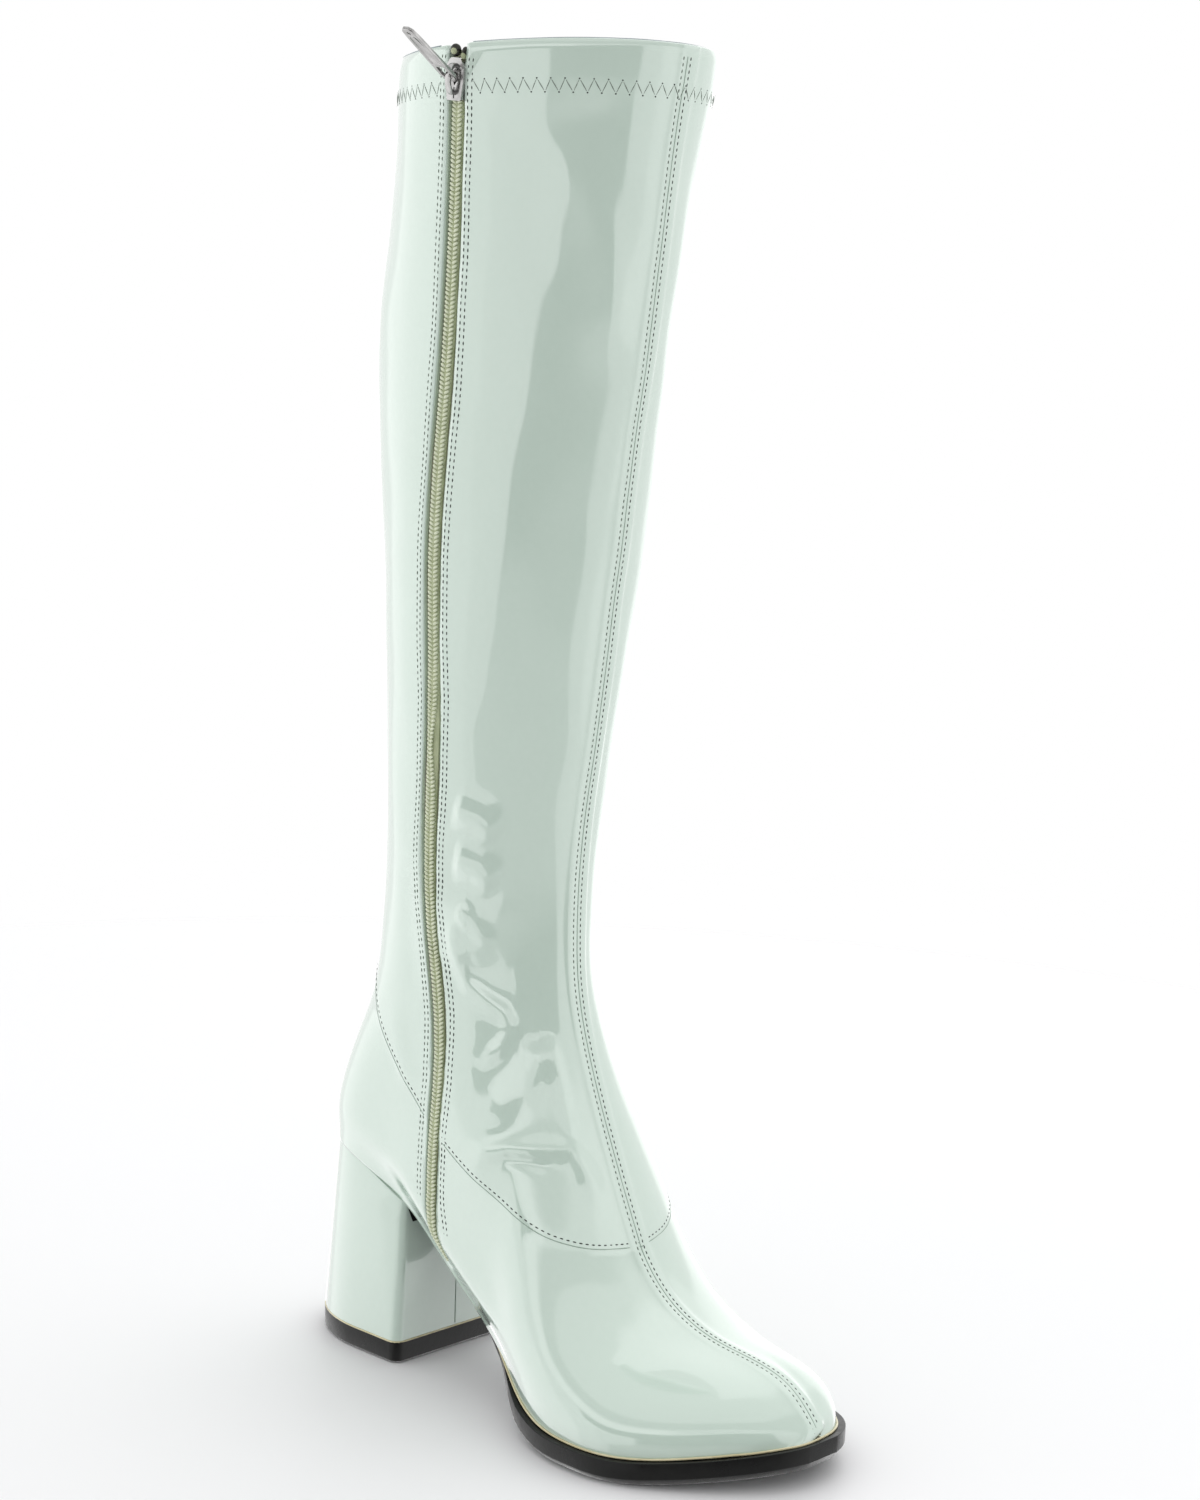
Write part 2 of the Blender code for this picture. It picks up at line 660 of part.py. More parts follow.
def make_chain(material, parent):
    """The closed row of teeth, a low crowned strip on the tape."""
    half = 0.5 * CHAIN_WIDTH
    offsets = np.array([-half, -0.5 * half, 0.5 * half, half])
    ring_height = (COLLAR_HEIGHT - ANKLE_HEIGHT) / SHAFT_RINGS
    end = slider_level() - (0.5 * SLIDER_LENGTH + SLIDER_CLEARANCE) / ring_height
    levels = np.linspace(CHAIN_START, end, ZIP_SAMPLES)
    outer, inner = zip_strip(offsets, levels, -CHAIN_PROUD, UPPER_WALL)
    sunk, _ = zip_strip(offsets, levels, 0.35 * UPPER_WALL, UPPER_WALL)
    outer[:, 0] = sunk[:, 0]
    outer[:, -1] = sunk[:, -1]
    vertices, faces = walled_sheet(outer, inner, False, lambda r, c: True)
    return make_object("zip-chain", vertices, faces, material, parent)


def foot_outline(start, end, count):
    """The inner and the outer side of the foot's plan outline between two places."""
    spread = 0.5 - 0.5 * np.cos(np.linspace(0.0, math.pi, count))
    x = start + (end - start) * spread
    inner = np.stack([x, centre_line(x) - plan_half_width(x, "inner") * heel_closing(x)], axis=1)
    outer = np.stack([x, centre_line(x) + plan_half_width(x, "outer") * heel_closing(x)], axis=1)
    return inner, outer


def heel_closing(x):
    """Rounding of the heel's back in plan."""
    return rounding(x - back_line(HEEL_HEIGHT), 0.5 * HEEL_SEAT_WIDTH * SEAT_ROUNDNESS)


def move_outline(points, distance):
    """A closed plan outline moved outwards by a distance at each point."""
    along = np.roll(points, -1, axis=0) - np.roll(points, 1, axis=0)
    normal = np.stack([along[:, 1], -along[:, 0]], axis=1)
    normal /= np.maximum(np.linalg.norm(normal, axis=1), 1e-9)[:, None]
    return points + normal * np.asarray(distance)[:, None]


def lofted_solid(layers):
    """Vertices and faces of a solid through closed layers of points, bottom first, with flat fans."""
    count = len(layers[0])
    vertices = np.concatenate(layers)
    faces = []
    for level in range(len(layers) - 1):
        low, high = level * count, (level + 1) * count
        for i in range(count):
            j = (i + 1) % count
            faces.append((low + i, low + j, high + j, high + i))
    return vertices, faces


def strip_caps(count, first, flipped):
    """Faces across a closed outline whose two sides run with equal counts of points."""
    faces = []
    half = count // 2
    for i in range(half - 1):
        a, b = first + i, first + i + 1
        c, d = first + count - 2 - i, first + count - 1 - i
        face = (a, b, c, d) if not flipped else (d, c, b, a)
        faces.append(face)
    return faces


def sole_outline(start, end, count):
    """The foot's plan outline as one closed line: inner side forwards, outer side back."""
    inner, outer = foot_outline(start, end, count)
    return np.concatenate([inner, outer[::-1]])


def sole_bottom(x):
    """Height of the sole's underside: flat under the ball, raised at the toe, thin at the waist."""
    along = x / FOOT_LENGTH
    thickness = SOLE_WAIST + (SOLE_EDGE - SOLE_WAIST) * ease((along - WAIST_END) / WAIST_FADE)
    return np.maximum(bottom_height(x) - SOLE_GAP - thickness, 0.0)


def make_outsole(material, parent):
    """The outsole from the heel's breast to the toe, with its edge standing out around the forefoot."""
    start = HEEL_LENGTH + GAP
    line = sole_outline(start, FEATHER_END * FOOT_LENGTH, SOLE_SAMPLES)
    along = line[:, 0] / FOOT_LENGTH
    reach = -WAIST_INSET + (WELT_REACH + WAIST_INSET) * ease((along - WAIST_END) / WAIST_FADE)
    edge = move_outline(line, reach)
    bottom = move_outline(line, reach - SOLE_ROUND)
    for outline in (edge, bottom):
        outline[:, 0] = np.maximum(outline[:, 0], start)
    count = len(line)
    layers = [
        np.column_stack([bottom, sole_bottom(bottom[:, 0])]),
        np.column_stack([edge, sole_bottom(edge[:, 0]) + SOLE_ROUND]),
        np.column_stack([edge, bottom_height(edge[:, 0]) - SOLE_GAP]),
    ]
    vertices, faces = lofted_solid(layers)
    faces += strip_caps(count, 0, flipped=True)
    faces += strip_caps(count, 2 * count, flipped=False)
    return make_object("outsole", vertices, faces, material, parent)


def heel_outline(back, breast, half_width_value, count=14):
    """A heel's plan outline: half-oval back, straight sides, small round breast corners."""
    depth = half_width_value * BLOCK_ROUNDNESS
    turn = np.linspace(0.5 * math.pi, math.pi, count)
    side_x = back + depth + depth * np.cos(turn)
    side_y = half_width_value * np.sin(turn)
    corner = np.linspace(0.5 * math.pi, 0.0, 5)
    corner_x = breast - HEEL_CORNER + HEEL_CORNER * np.cos(corner)
    corner_y = half_width_value - HEEL_CORNER + HEEL_CORNER * np.sin(corner)
    inner = np.column_stack([
        np.concatenate([side_x[::-1], corner_x]),
        -np.concatenate([side_y[::-1], corner_y]),
    ])
    outer = inner * np.array([1.0, -1.0])
    return np.concatenate([inner, outer[:0:-1]])


def seat_height(x):
    """Height of the heel block's top under the seat."""
    return bottom_height(x) - GAP


def fan_faces(first, count, flipped):
    """Faces across an outline that starts at its back point and is even about the centre line."""
    faces = []
    half = (count - 1) // 2
    for i in range(half):
        a, b = first + i, first + i + 1
        c, d = first + (count - i - 1) % count, first + (count - i) % count
        face = [a, b, c] if a == d else [a, b, c, d]
        faces.append(tuple(face[::-1]) if flipped else tuple(face))
    return faces


def make_heel(material, parent):
    """The covered block heel, from the top-lift to the sloping seat."""
    top_back = float(back_line(HEEL_HEIGHT)) + HEEL_SEAT_INSET
    shares = (0.0, 0.5, 0.85, 1.0)
    layers = []
    for share in shares:
        back = -HEEL_BACK_FLARE * (1.0 - share) + top_back * share
        seat_width = HEEL_SEAT_WIDTH - HEEL_TOP_NARROWER
        half = 0.5 * (HEEL_BASE_WIDTH * (1.0 - share) + seat_width * share)
        outline = heel_outline(back, HEEL_LENGTH, half)
        low = TOP_LIFT + GAP
        height = low + (seat_height(outline[:, 0]) - low) * share
        layers.append(np.column_stack([outline, height]))
    count = len(layers[0])
    vertices, faces = lofted_solid(layers)
    faces += fan_faces(0, count, flipped=True)
    faces += fan_faces((len(layers) - 1) * count, count, flipped=False)
    return make_object("heel", vertices, faces, material, parent)


def make_top_lift(material, parent):
    """The top-lift, flat on the floor."""
    layers = []
    for height, grow in ((0.0, -TOP_LIFT_BEVEL), (TOP_LIFT_BEVEL, 0.0), (TOP_LIFT, TOP_LIFT_PROUD)):
        outline = heel_outline(-HEEL_BACK_FLARE - grow, HEEL_LENGTH + grow, 0.5 * HEEL_BASE_WIDTH + grow)
        layers.append(np.column_stack([outline, np.full(len(outline), height)]))
    count = len(layers[0])
    vertices, faces = lofted_solid(layers)
    faces += fan_faces(0, count, flipped=True)
    faces += fan_faces((len(layers) - 1) * count, count, flipped=False)
    return make_object("top-lift", vertices, faces, material, parent)


def make_insole(material, parent):
    """The insole inside the upper's foot, on the sole and the seat."""
    inset = UPPER_WALL + INSOLE_CLEARANCE
    start = float(back_line(HEEL_HEIGHT)) + HEEL_SEAT_INSET
    line = sole_outline(start, FEATHER_END * FOOT_LENGTH, SOLE_SAMPLES)
    edge = move_outline(line, np.full(len(line), -inset))
    low = bottom_height(edge[:, 0])
    layers = [np.column_stack([edge, low]), np.column_stack([edge, low + INSOLE])]
    count = len(edge)
    vertices, faces = lofted_solid(layers)
    faces += strip_caps(count, 0, flipped=True)
    faces += strip_caps(count, count, flipped=False)
    return make_object("insole", vertices, faces, material, parent)


def zip_frame(level):
    """Origin and unit axes on the zip line: across forwards, outward and up."""
    step = 0.02
    middle = Ring(level)
    origin = middle.at([middle.zip])[0]
    across = middle.at([middle.zip + 0.001])[0] - middle.at([middle.zip - 0.001])[0]
    below, above = Ring(level - step), Ring(level + step)
    up = above.at([above.zip])[0] - below.at([below.zip])[0]
    up /= np.linalg.norm(up)
    outward = np.cross(across, up)
    outward /= np.linalg.norm(outward)
    across = np.cross(up, outward)
    return origin, across, outward, up


def frame_to_world(frame, points):
    """Points given across, outward and up, in a zip frame."""
    origin, across, outward, up = frame
    points = np.asarray(points)
    return origin + points[:, :1] * across + points[:, 1:2] * outward + points[:, 2:3] * up


def extruded(profile, depth_axis, start, end):
    """Vertices and faces of a profile of two coordinates, drawn out along the third axis."""
    axes = [axis for axis in range(3) if axis != depth_axis]
    count = len(profile)
    vertices = np.zeros((2 * count, 3))
    for layer, depth in enumerate((start, end)):
        rows = slice(layer * count, (layer + 1) * count)
        vertices[rows, axes[0]] = [p[0] for p in profile]
        vertices[rows, axes[1]] = [p[1] for p in profile]
        vertices[rows, depth_axis] = depth
    faces = [tuple(range(count - 1, -1, -1)), tuple(range(count, 2 * count))]
    faces += [(i, (i + 1) % count, count + (i + 1) % count, count + i) for i in range(count)]
    if depth_axis == 1:
        faces = [face[::-1] for face in faces]
    return vertices, faces


def bridge_profile():
    """The slider from the side: plate and the arch that the pull hangs in, as outward and up pairs."""
    half = 0.5 * SLIDER_LENGTH
    low = CHAIN_PROUD + SLIDER_CLEARANCE
    plate_top = low + SLIDER_PLATE
    top = low + SLIDER_PLATE + BRIDGE_HEIGHT
    reach = 0.78 * half
    return half, low, plate_top, top, reach


def make_slider(material, parent):
    """The slider: a plate over the chain, its two flanges, and an arched bridge."""
    frame = zip_frame(slider_level())
    half, low, plate_top, top, reach = bridge_profile()
    half_width_value = 0.5 * SLIDER_WIDTH
    flange_depth = -UPPER_WALL + GAP
    inside = 0.5 * CHAIN_WIDTH + SLIDER_CLEARANCE
    section = [
        (-half_width_value, flange_depth),
        (-inside, flange_depth),
        (-inside, low),
        (inside, low),
        (inside, flange_depth),
        (half_width_value, flange_depth),
        (half_width_value, plate_top - 0.5 * SLIDER_CHAMFER),
        (half_width_value - SLIDER_CHAMFER, plate_top),
        (-half_width_value + SLIDER_CHAMFER, plate_top),
        (-half_width_value, plate_top - 0.5 * SLIDER_CHAMFER),
    ]
    vertices, faces = extruded(section, 2, -half, half)
    body = make_object("zip-slider", frame_to_world(frame, vertices), faces, material, parent)
    sink = 0.0003
    steps = 10
    outer = [
        (plate_top - sink + (top - plate_top + sink) * math.sin(t) ** 0.6, reach * math.cos(t))
        for t in np.linspace(0.0, math.pi, steps + 1)
    ]
    inner_reach = reach - 1.5 * BRIDGE_BAR
    inner_top = top - BRIDGE_BAR
    inner = [
        (plate_top - sink + (inner_top - plate_top + sink) * math.sin(t) ** 0.6, inner_reach * math.cos(t))
        for t in np.linspace(math.pi, 0.0, steps + 1)
    ]
    arch = outer + inner
    vertices, faces = extruded(arch, 0, -0.5 * BRIDGE_WIDTH, 0.5 * BRIDGE_WIDTH)
    bridge = make_object("zip-bridge-tool", frame_to_world(frame, vertices), faces, material, parent)
    bridge.hide_render = True
    bridge.display_type = "WIRE"
    join = body.modifiers.new("bridge", "BOOLEAN")
    join.operation = "UNION"
    join.object = bridge
    return frame


def pull_outlines():
    """Outer and inner outline of the pull, across and along its length, with equal counts of points."""
    half = 0.5 * PULL_WIDTH
    slot = 0.5 * PULL_SLOT
    bar = 0.5 * PULL_THICKNESS
    corner = 0.28 * half
    slot_end = PULL_LENGTH - PULL_END
    outer = [
        (-half + corner, -bar), (half - corner, -bar), (half, -bar + corner), (half, 0.5 * PULL_LENGTH),
        (half, PULL_LENGTH - 2 * corner), (half - corner, PULL_LENGTH - 0.5 * corner),
        (half - 2 * corner, PULL_LENGTH), (2 * corner - half, PULL_LENGTH),
        (corner - half, PULL_LENGTH - 0.5 * corner), (-half, PULL_LENGTH - 2 * corner),
        (-half, 0.5 * PULL_LENGTH), (-half, -bar + corner),
    ]
    inner = [
        (-0.6 * slot, bar), (0.6 * slot, bar), (slot, 1.8 * bar), (slot, 0.5 * slot_end),
        (slot, slot_end - slot), (0.75 * slot, slot_end - 0.35 * slot),
        (0.3 * slot, slot_end), (-0.3 * slot, slot_end),
        (-0.75 * slot, slot_end - 0.35 * slot), (-slot, slot_end - slot),
        (-slot, 0.5 * slot_end), (-slot, 1.8 * bar),
    ]
    return outer, inner


def make_pull(material, parent):
    """The pull tab, a flat frame whose end bar hangs in the slider's bridge, lifted as it lies."""
    _, _, plate_top, top, _ = bridge_profile()
    origin, across, outward, up = zip_frame(slider_level())
    hinge = origin + outward * 0.5 * (plate_top + top - BRIDGE_BAR)
    lift = math.radians(PULL_LIFT_DEG)
    length = outward * math.cos(lift) + up * math.sin(lift)
    face = np.cross(across, length)
    outer, inner = pull_outlines()
    count = len(outer)
    bar = 0.5 * PULL_THICKNESS
    vertices = []
    for depth in (-bar, bar):
        for outline in (outer, inner):
            vertices += [across * a + length * b + face * depth for a, b in outline]
    faces = []
    for i in range(count):
        j = (i + 1) % count
        low_out, low_in, high_out, high_in = 0, count, 2 * count, 3 * count
        faces.append((low_out + j, low_out + i, low_in + i, low_in + j))
        faces.append((high_out + i, high_out + j, high_in + j, high_in + i))
        faces.append((low_out + i, low_out + j, high_out + j, high_out + i))
        faces.append((low_in + j, low_in + i, high_in + i, high_in + j))
    piece = make_object("zip-pull", np.array(vertices), faces, material, parent)
    piece.location = hinge
    return piece


def build():
    """Every piece of the boot, under one empty at the heel's rest."""
    for item in list(bpy.data.objects):
        bpy.data.objects.remove(item, do_unlink=True)
    origin = bpy.data.objects.new("heel-rest-origin", None)
    origin.location = (-HEEL_REST_X, 0.0, 0.0)
    bpy.context.scene.collection.objects.link(origin)
    patent = make_material("mint-patent", (0.74, 0.84, 0.77), 0.12)
    black = make_material("black-rubber", (0.012, 0.012, 0.012), 0.35)
    lining = make_material("pale-lining", (0.70, 0.70, 0.66), 0.8)
    tape = make_material("olive-tape", (0.55, 0.54, 0.38), 0.85)
    steel = make_material("silver-metal", (0.75, 0.75, 0.76), 0.25, 1.0)
    make_upper(patent, origin)
    make_insole(lining, origin)
    make_outsole(black, origin)
    make_heel(patent, origin)
    make_top_lift(black, origin)
    make_tape(tape, origin)
    make_chain(tape, origin)
    make_slider(steel, origin)
    make_pull(steel, origin)


build()
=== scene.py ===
"""The looks of a go go boot: mint patent, an inner-side zip, a covered block heel and a black sole.

Metres, +Z up, +X to the toe, -Y to the inner side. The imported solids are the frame. Each class below
makes one sub-assembly around its solids, dresses it and rides it on its body.
"""

from __future__ import annotations

import logging
import math
from dataclasses import dataclass, field, replace
from enum import Enum

import bmesh
import bpy
import numpy as np
from mathutils import Matrix, Vector, noise
from mathutils.bvhtree import BVHTree

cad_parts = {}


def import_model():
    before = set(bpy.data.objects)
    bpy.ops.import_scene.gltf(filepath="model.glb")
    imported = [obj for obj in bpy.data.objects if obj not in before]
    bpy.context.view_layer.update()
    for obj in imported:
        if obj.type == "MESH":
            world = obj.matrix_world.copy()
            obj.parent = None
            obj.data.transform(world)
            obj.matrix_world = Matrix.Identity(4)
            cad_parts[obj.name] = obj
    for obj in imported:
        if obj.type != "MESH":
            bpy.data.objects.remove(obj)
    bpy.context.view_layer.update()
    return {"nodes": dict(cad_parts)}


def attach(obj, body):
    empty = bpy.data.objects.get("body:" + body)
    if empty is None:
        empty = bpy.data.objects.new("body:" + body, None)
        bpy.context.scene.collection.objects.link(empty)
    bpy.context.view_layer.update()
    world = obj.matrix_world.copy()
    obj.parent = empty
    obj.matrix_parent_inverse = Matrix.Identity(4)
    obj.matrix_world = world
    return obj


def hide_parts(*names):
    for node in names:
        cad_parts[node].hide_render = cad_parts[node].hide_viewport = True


LOG = logging.getLogger("boot")
MM = 0.001
# Points closer than this are one point of a CAD solid's mesh.
MERGE_DISTANCE = 0.02 * MM
# Faces that turn further than this aren't paired into a quad.
WIDEST_PAIR_DEG = 62.0
# How much of an edge's length has to rise before rows are added across it.
UPRIGHT_SHARE = 0.55
SHORTEST_UPRIGHT = 1.6 * MM
# How straight the next edge has to run on for a row's curve to follow it.
STRAIGHT_ON = 0.8
FURTHEST_BEND = 0.5 * MM
# How alike two normals are when both spots lie on the same skin.
SAME_SKIN = 0.3


class Body(Enum):
    """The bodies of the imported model."""

    BOOT = "boot"
    PULL = "pull"


class Slot(Enum):
    """The record's material slots."""

    PATENT = "patent"
    SOLE = "sole"
    LINING = "lining"
    TAPE = "tape"
    METAL = "metal"


# Shader groups


def new_group(name: str, inputs: dict, outputs: dict[str, str]):
    """An empty shader group with its sockets.

    Args:
        name: the group's name.
        inputs: each input's first value by its name: a number, a vector or a colour.
        outputs: each output's kind by its name.

    Returns:
        The group, its input node and its output node.
    """
    kinds = {1: "NodeSocketFloat", 3: "NodeSocketVector", 4: "NodeSocketColor"}
    group = bpy.data.node_groups.new(name, "ShaderNodeTree")
    for label, value in inputs.items():
        kind = kinds[np.size(value)]
        socket = group.interface.new_socket(label, in_out="INPUT", socket_type=kind)
        socket.default_value = value
    for label, kind in outputs.items():
        group.interface.new_socket(label, in_out="OUTPUT", socket_type=kind)
    return group, group.nodes.new("NodeGroupInput"), group.nodes.new("NodeGroupOutput")


class Wiring:
    """Short ways to add and join nodes in one tree."""

    def __init__(self, tree: bpy.types.NodeTree) -> None:
        """Keeps the tree that nodes go into."""
        self.tree = tree

    def node(self, kind: str, **values) -> bpy.types.Node:
        """Adds a node and sets its plain properties.

        Args:
            kind: the node's type name.
            **values: properties of the node, by name.

        Returns:
            The new node.
        """
        made = self.tree.nodes.new(kind)
        for key, value in values.items():
            setattr(made, key, value)
        return made

    def feed(self, node: bpy.types.Node, **sources) -> bpy.types.Node:
        """Links outputs into a node's inputs, or sets the inputs' values.

        Args:
            node: the node whose inputs are fed.
            **sources: by input name, with _ for a space, or in_N for input number N.

        Returns:
            The node.
        """
        for key, source in sources.items():
            label = int(key[3:]) if key.startswith("in_") else key.replace("_", " ")
            socket = node.inputs[label]
            if isinstance(source, bpy.types.NodeSocket):
                self.tree.links.new(source, socket)
            else:
                socket.default_value = source
        return node

    def grey(self, level):
        """A grey of one level."""
        made = self.node("ShaderNodeCombineColor")
        self.feed(made, Red=level, Green=level, Blue=level)
        return made.outputs[0]

    def chain(self, operation: str, *values):
        """Several values joined by one operation, from the first to the last."""
        result = values[0]
        for value in values[1:]:
            result = self.maths(operation, result, value)
        return result

    def maths(self, operation: str, first, second=0.0, third=0.0, clamp: bool = False):
        """The output of one Math node.

        Args:
            operation: the node's operation.
            first: a socket or a number.
            second: a socket or a number.
            third: a socket or a number.
            clamp: True to hold the result from 0 to 1.

        Returns:
            The output socket.
        """
        made = self.node("ShaderNodeMath", operation=operation, use_clamp=clamp)
        self.feed(made, in_0=first, in_1=second, in_2=third)
        return made.outputs[0]

    def spread(self, value, low: float, high: float, to_low: float = 0.0, to_high: float = 1.0):
        """A value mapped smoothly from one range to another.

        Args:
            value: the socket to map.
            low: the value that gives to_low.
            high: the value that gives to_high.
            to_low: the low end of the result.
            to_high: the high end of the result.

        Returns:
            The output socket.
        """
        made = self.node("ShaderNodeMapRange", interpolation_type="SMOOTHSTEP")
        self.feed(made, in_0=value, in_1=low, in_2=high, in_3=to_low, in_4=to_high)
        return made.outputs[0]

    def mix(self, share, first, second):
        """Two colours mixed by a share.

        Args:
            share: a socket or a number.
            first: the colour at 0.
            second: the colour at 1.

        Returns:
            The output socket.
        """
        made = self.node("ShaderNodeMix", data_type="RGBA")
        self.feed(made, in_0=share, in_6=first, in_7=second)
        return made.outputs[2]

    def noise(self, place, scale, detail: float = 2.0):
        """A noise pattern's value.

        Args:
            place: the coordinates' socket.
            scale: cycles a metre, a socket or a number.
            detail: octaves.

        Returns:
            The output socket.
        """
        made = self.node("ShaderNodeTexNoise")
        self.feed(made, Vector=place, Scale=scale, Detail=detail)
        return made.outputs[0]


def make_drift_group() -> bpy.types.NodeTree:
    """A group that drifts a colour slowly towards a shade and back over a piece.

    Returns:
        The group, with Colour, Shade, Place, Scale and Amount in, and Colour and Mask out.
    """
    group, source, sink = new_group(
        "colour-drift",
        {
            "Colour": (0.8, 0.8, 0.8, 1.0), "Shade": (0.6, 0.6, 0.6, 1.0), "Place": (0.0, 0.0, 0.0),
            "Scale": 12.0, "Amount": 0.3,
        },
        {"Colour": "NodeSocketColor", "Mask": "NodeSocketFloat"},
    )
    wires = Wiring(group)
    broad = wires.noise(source.outputs["Place"], source.outputs["Scale"], 3.0)
    fine = wires.noise(source.outputs["Place"], 420.0)
    both = wires.maths("MULTIPLY_ADD", fine, 0.25, wires.maths("MULTIPLY", broad, 0.75))
    mask = wires.spread(both, 0.35, 0.70)
    share = wires.maths("MULTIPLY", mask, source.outputs["Amount"], clamp=True)
    colour = wires.mix(share, source.outputs["Colour"], source.outputs["Shade"])
    wires.feed(sink, Colour=colour, Mask=mask)
    return group


def make_grain_group() -> bpy.types.NodeTree:
    """A group of two sizes of soft grain, for a bump's height.

    Returns:
        The group, with Place, Coarse, Fine and Balance in, and Height out.
    """
    group, source, sink = new_group(
        "soft-grain",
        {"Place": (0.0, 0.0, 0.0), "Coarse": 160.0, "Fine": 900.0, "Balance": 0.3},
        {"Height": "NodeSocketFloat"},
    )
    wires = Wiring(group)
    coarse = wires.noise(source.outputs["Place"], source.outputs["Coarse"], 1.5)
    fine = wires.noise(source.outputs["Place"], source.outputs["Fine"])
    share = wires.maths("MULTIPLY", fine, source.outputs["Balance"])
    wires.feed(sink, Height=wires.maths("ADD", coarse, share))
    return group


def make_weave_group() -> bpy.types.NodeTree:
    """A group of woven threads over two coordinates of a UV map, in metres.

    Returns:
        The group, with Place and Threads in, and Height and Gap out.
    """
    group, source, sink = new_group(
        "weave",
        {"Place": (0.0, 0.0, 0.0), "Threads": 1800.0},
        {"Height": "NodeSocketFloat", "Gap": "NodeSocketFloat"},
    )
    wires = Wiring(group)
    split = wires.node("ShaderNodeSeparateXYZ")
    wires.feed(split, Vector=source.outputs["Place"])
    waves = []
    for axis in (0, 1):
        turn = wires.maths("MULTIPLY", split.outputs[axis], source.outputs["Threads"])
        waves.append(wires.maths("SINE", wires.maths("MULTIPLY", turn, math.tau)))
    crossing = wires.maths("MULTIPLY", waves[0], waves[1])
    height = wires.maths("MULTIPLY_ADD", crossing, 0.5, 0.5)
    # Gap is 1 on the lines between threads, where the finish paints shade.
    gap = wires.spread(wires.maths("ABSOLUTE", crossing), 0.0, 0.30, 1.0, 0.0)
    wires.feed(sink, Height=height, Gap=gap)
    return group


class Effects:
    """The shader groups that several finishes share, each built once."""

    def __init__(self) -> None:
        """Builds the groups."""
        self.drift = make_drift_group()
        self.grain = make_grain_group()
        self.weave = make_weave_group()


# Finishes


def colour_of(red: float, green: float, blue: float) -> tuple[float, float, float, float]:
    """A display colour from 0 to 255 as a linear one.

    Args:
        red: the red share.
        green: the green share.
        blue: the blue share.

    Returns:
        Linear red, green, blue and 1.
    """
    shares = [value / 255.0 for value in (red, green, blue)]
    linear = [s / 12.92 if s <= 0.04045 else ((s + 0.055) / 1.055) ** 2.4 for s in shares]
    return (*linear, 1.0)


@dataclass(frozen=True)
class Finish:
    """A Principled finish with drifting colour and a grain bump.

    Scales, grains and threads are cycles a metre, and the bump's height is in metres.
    """

    name: str
    colour: tuple[float, float, float, float]
    shade: tuple[float, float, float, float]
    drift_scale: float = 12.0
    drift_amount: float = 0.3
    roughness: float = 0.5
    roughness_spread: float = 0.1
    metallic: float = 0.0
    coat: float = 0.0
    coat_roughness: float = 0.03
    coat_ior: float = 1.5
    sheen: float = 0.0
    specular: float = 0.5
    subsurface: float = 0.0
    grain_coarse: float = 160.0
    grain_fine: float = 900.0
    grain_balance: float = 0.3
    bump_height: float = 0.0002
    bump_strength: float = 0.3
    threads: float = 0.0

    def build(self, effects: Effects) -> bpy.types.Material:
        """Makes the material.

        Args:
            effects: the shared shader groups.

        Returns:
            The material.
        """
        material = bpy.data.materials.new(self.name)
        material.use_nodes = True
        wires = Wiring(material.node_tree)
        shader = material.node_tree.nodes["Principled BSDF"]
        place = wires.node("ShaderNodeTexCoord").outputs["Object"]
        drift = wires.node("ShaderNodeGroup", node_tree=effects.drift)
        wires.feed(
            drift,
            Colour=self.colour,
            Shade=self.shade,
            Place=place,
            Scale=self.drift_scale,
            Amount=self.drift_amount,
        )
        grain = wires.node("ShaderNodeGroup", node_tree=effects.grain)
        wires.feed(
            grain,
            Place=place,
            Coarse=self.grain_coarse,
            Fine=self.grain_fine,
            Balance=self.grain_balance,
        )
        height = grain.outputs["Height"]
        colour = drift.outputs["Colour"]
        if self.threads > 0.0:
            cloth = wires.node("ShaderNodeGroup", node_tree=effects.weave)
            uv = wires.node("ShaderNodeUVMap")
            wires.feed(cloth, Place=uv.outputs[0], Threads=self.threads)
            height = wires.maths("MULTIPLY_ADD", height, 0.35, cloth.outputs["Height"])
            # Painted shade: the gaps between the threads are darkened towards the shade colour.
            dark = wires.maths("MULTIPLY", cloth.outputs["Gap"], 0.55)
            colour = wires.mix(dark, colour, self.shade)
        bump = wires.node("ShaderNodeBump")
        wires.feed(bump, Strength=self.bump_strength, Distance=self.bump_height, Height=height)
        low = max(0.0, self.roughness - 0.5 * self.roughness_spread)
        rough = wires.spread(drift.outputs["Mask"], 0.0, 1.0, low, low + self.roughness_spread)
        wires.feed(
            shader,
            Base_Color=colour,
            Roughness=rough,
            Metallic=self.metallic,
            Normal=bump.outputs["Normal"],
            Coat_Weight=self.coat,
            Coat_Roughness=self.coat_roughness,
            Coat_IOR=self.coat_ior,
            Sheen_Weight=self.sheen,
            Specular_IOR_Level=self.specular,
            Subsurface_Weight=self.subsurface,
        )
        return material


PATENT = Finish(
    "mint-patent", colour_of(203, 221, 209), colour_of(195, 215, 202), drift_scale=9.0,
    drift_amount=0.5, roughness=0.16, roughness_spread=0.05, coat=1.0, coat_roughness=0.012,
    coat_ior=2.0, grain_coarse=110.0, grain_fine=700.0, grain_balance=0.12, bump_height=0.00012,
    bump_strength=0.12,
)
COVER = replace(
    PATENT, name="mint-heel-cover", drift_scale=14.0, roughness=0.18, coat_roughness=0.02,
    coat_ior=1.8, grain_coarse=90.0, grain_fine=600.0, bump_height=0.00014,
)
LINING = Finish(
    "cream-lining", colour_of(226, 222, 208), colour_of(196, 192, 178), roughness=0.80, sheen=0.25,
    grain_coarse=500.0, grain_fine=2200.0, grain_balance=0.8, bump_height=0.0003, bump_strength=0.5,
)
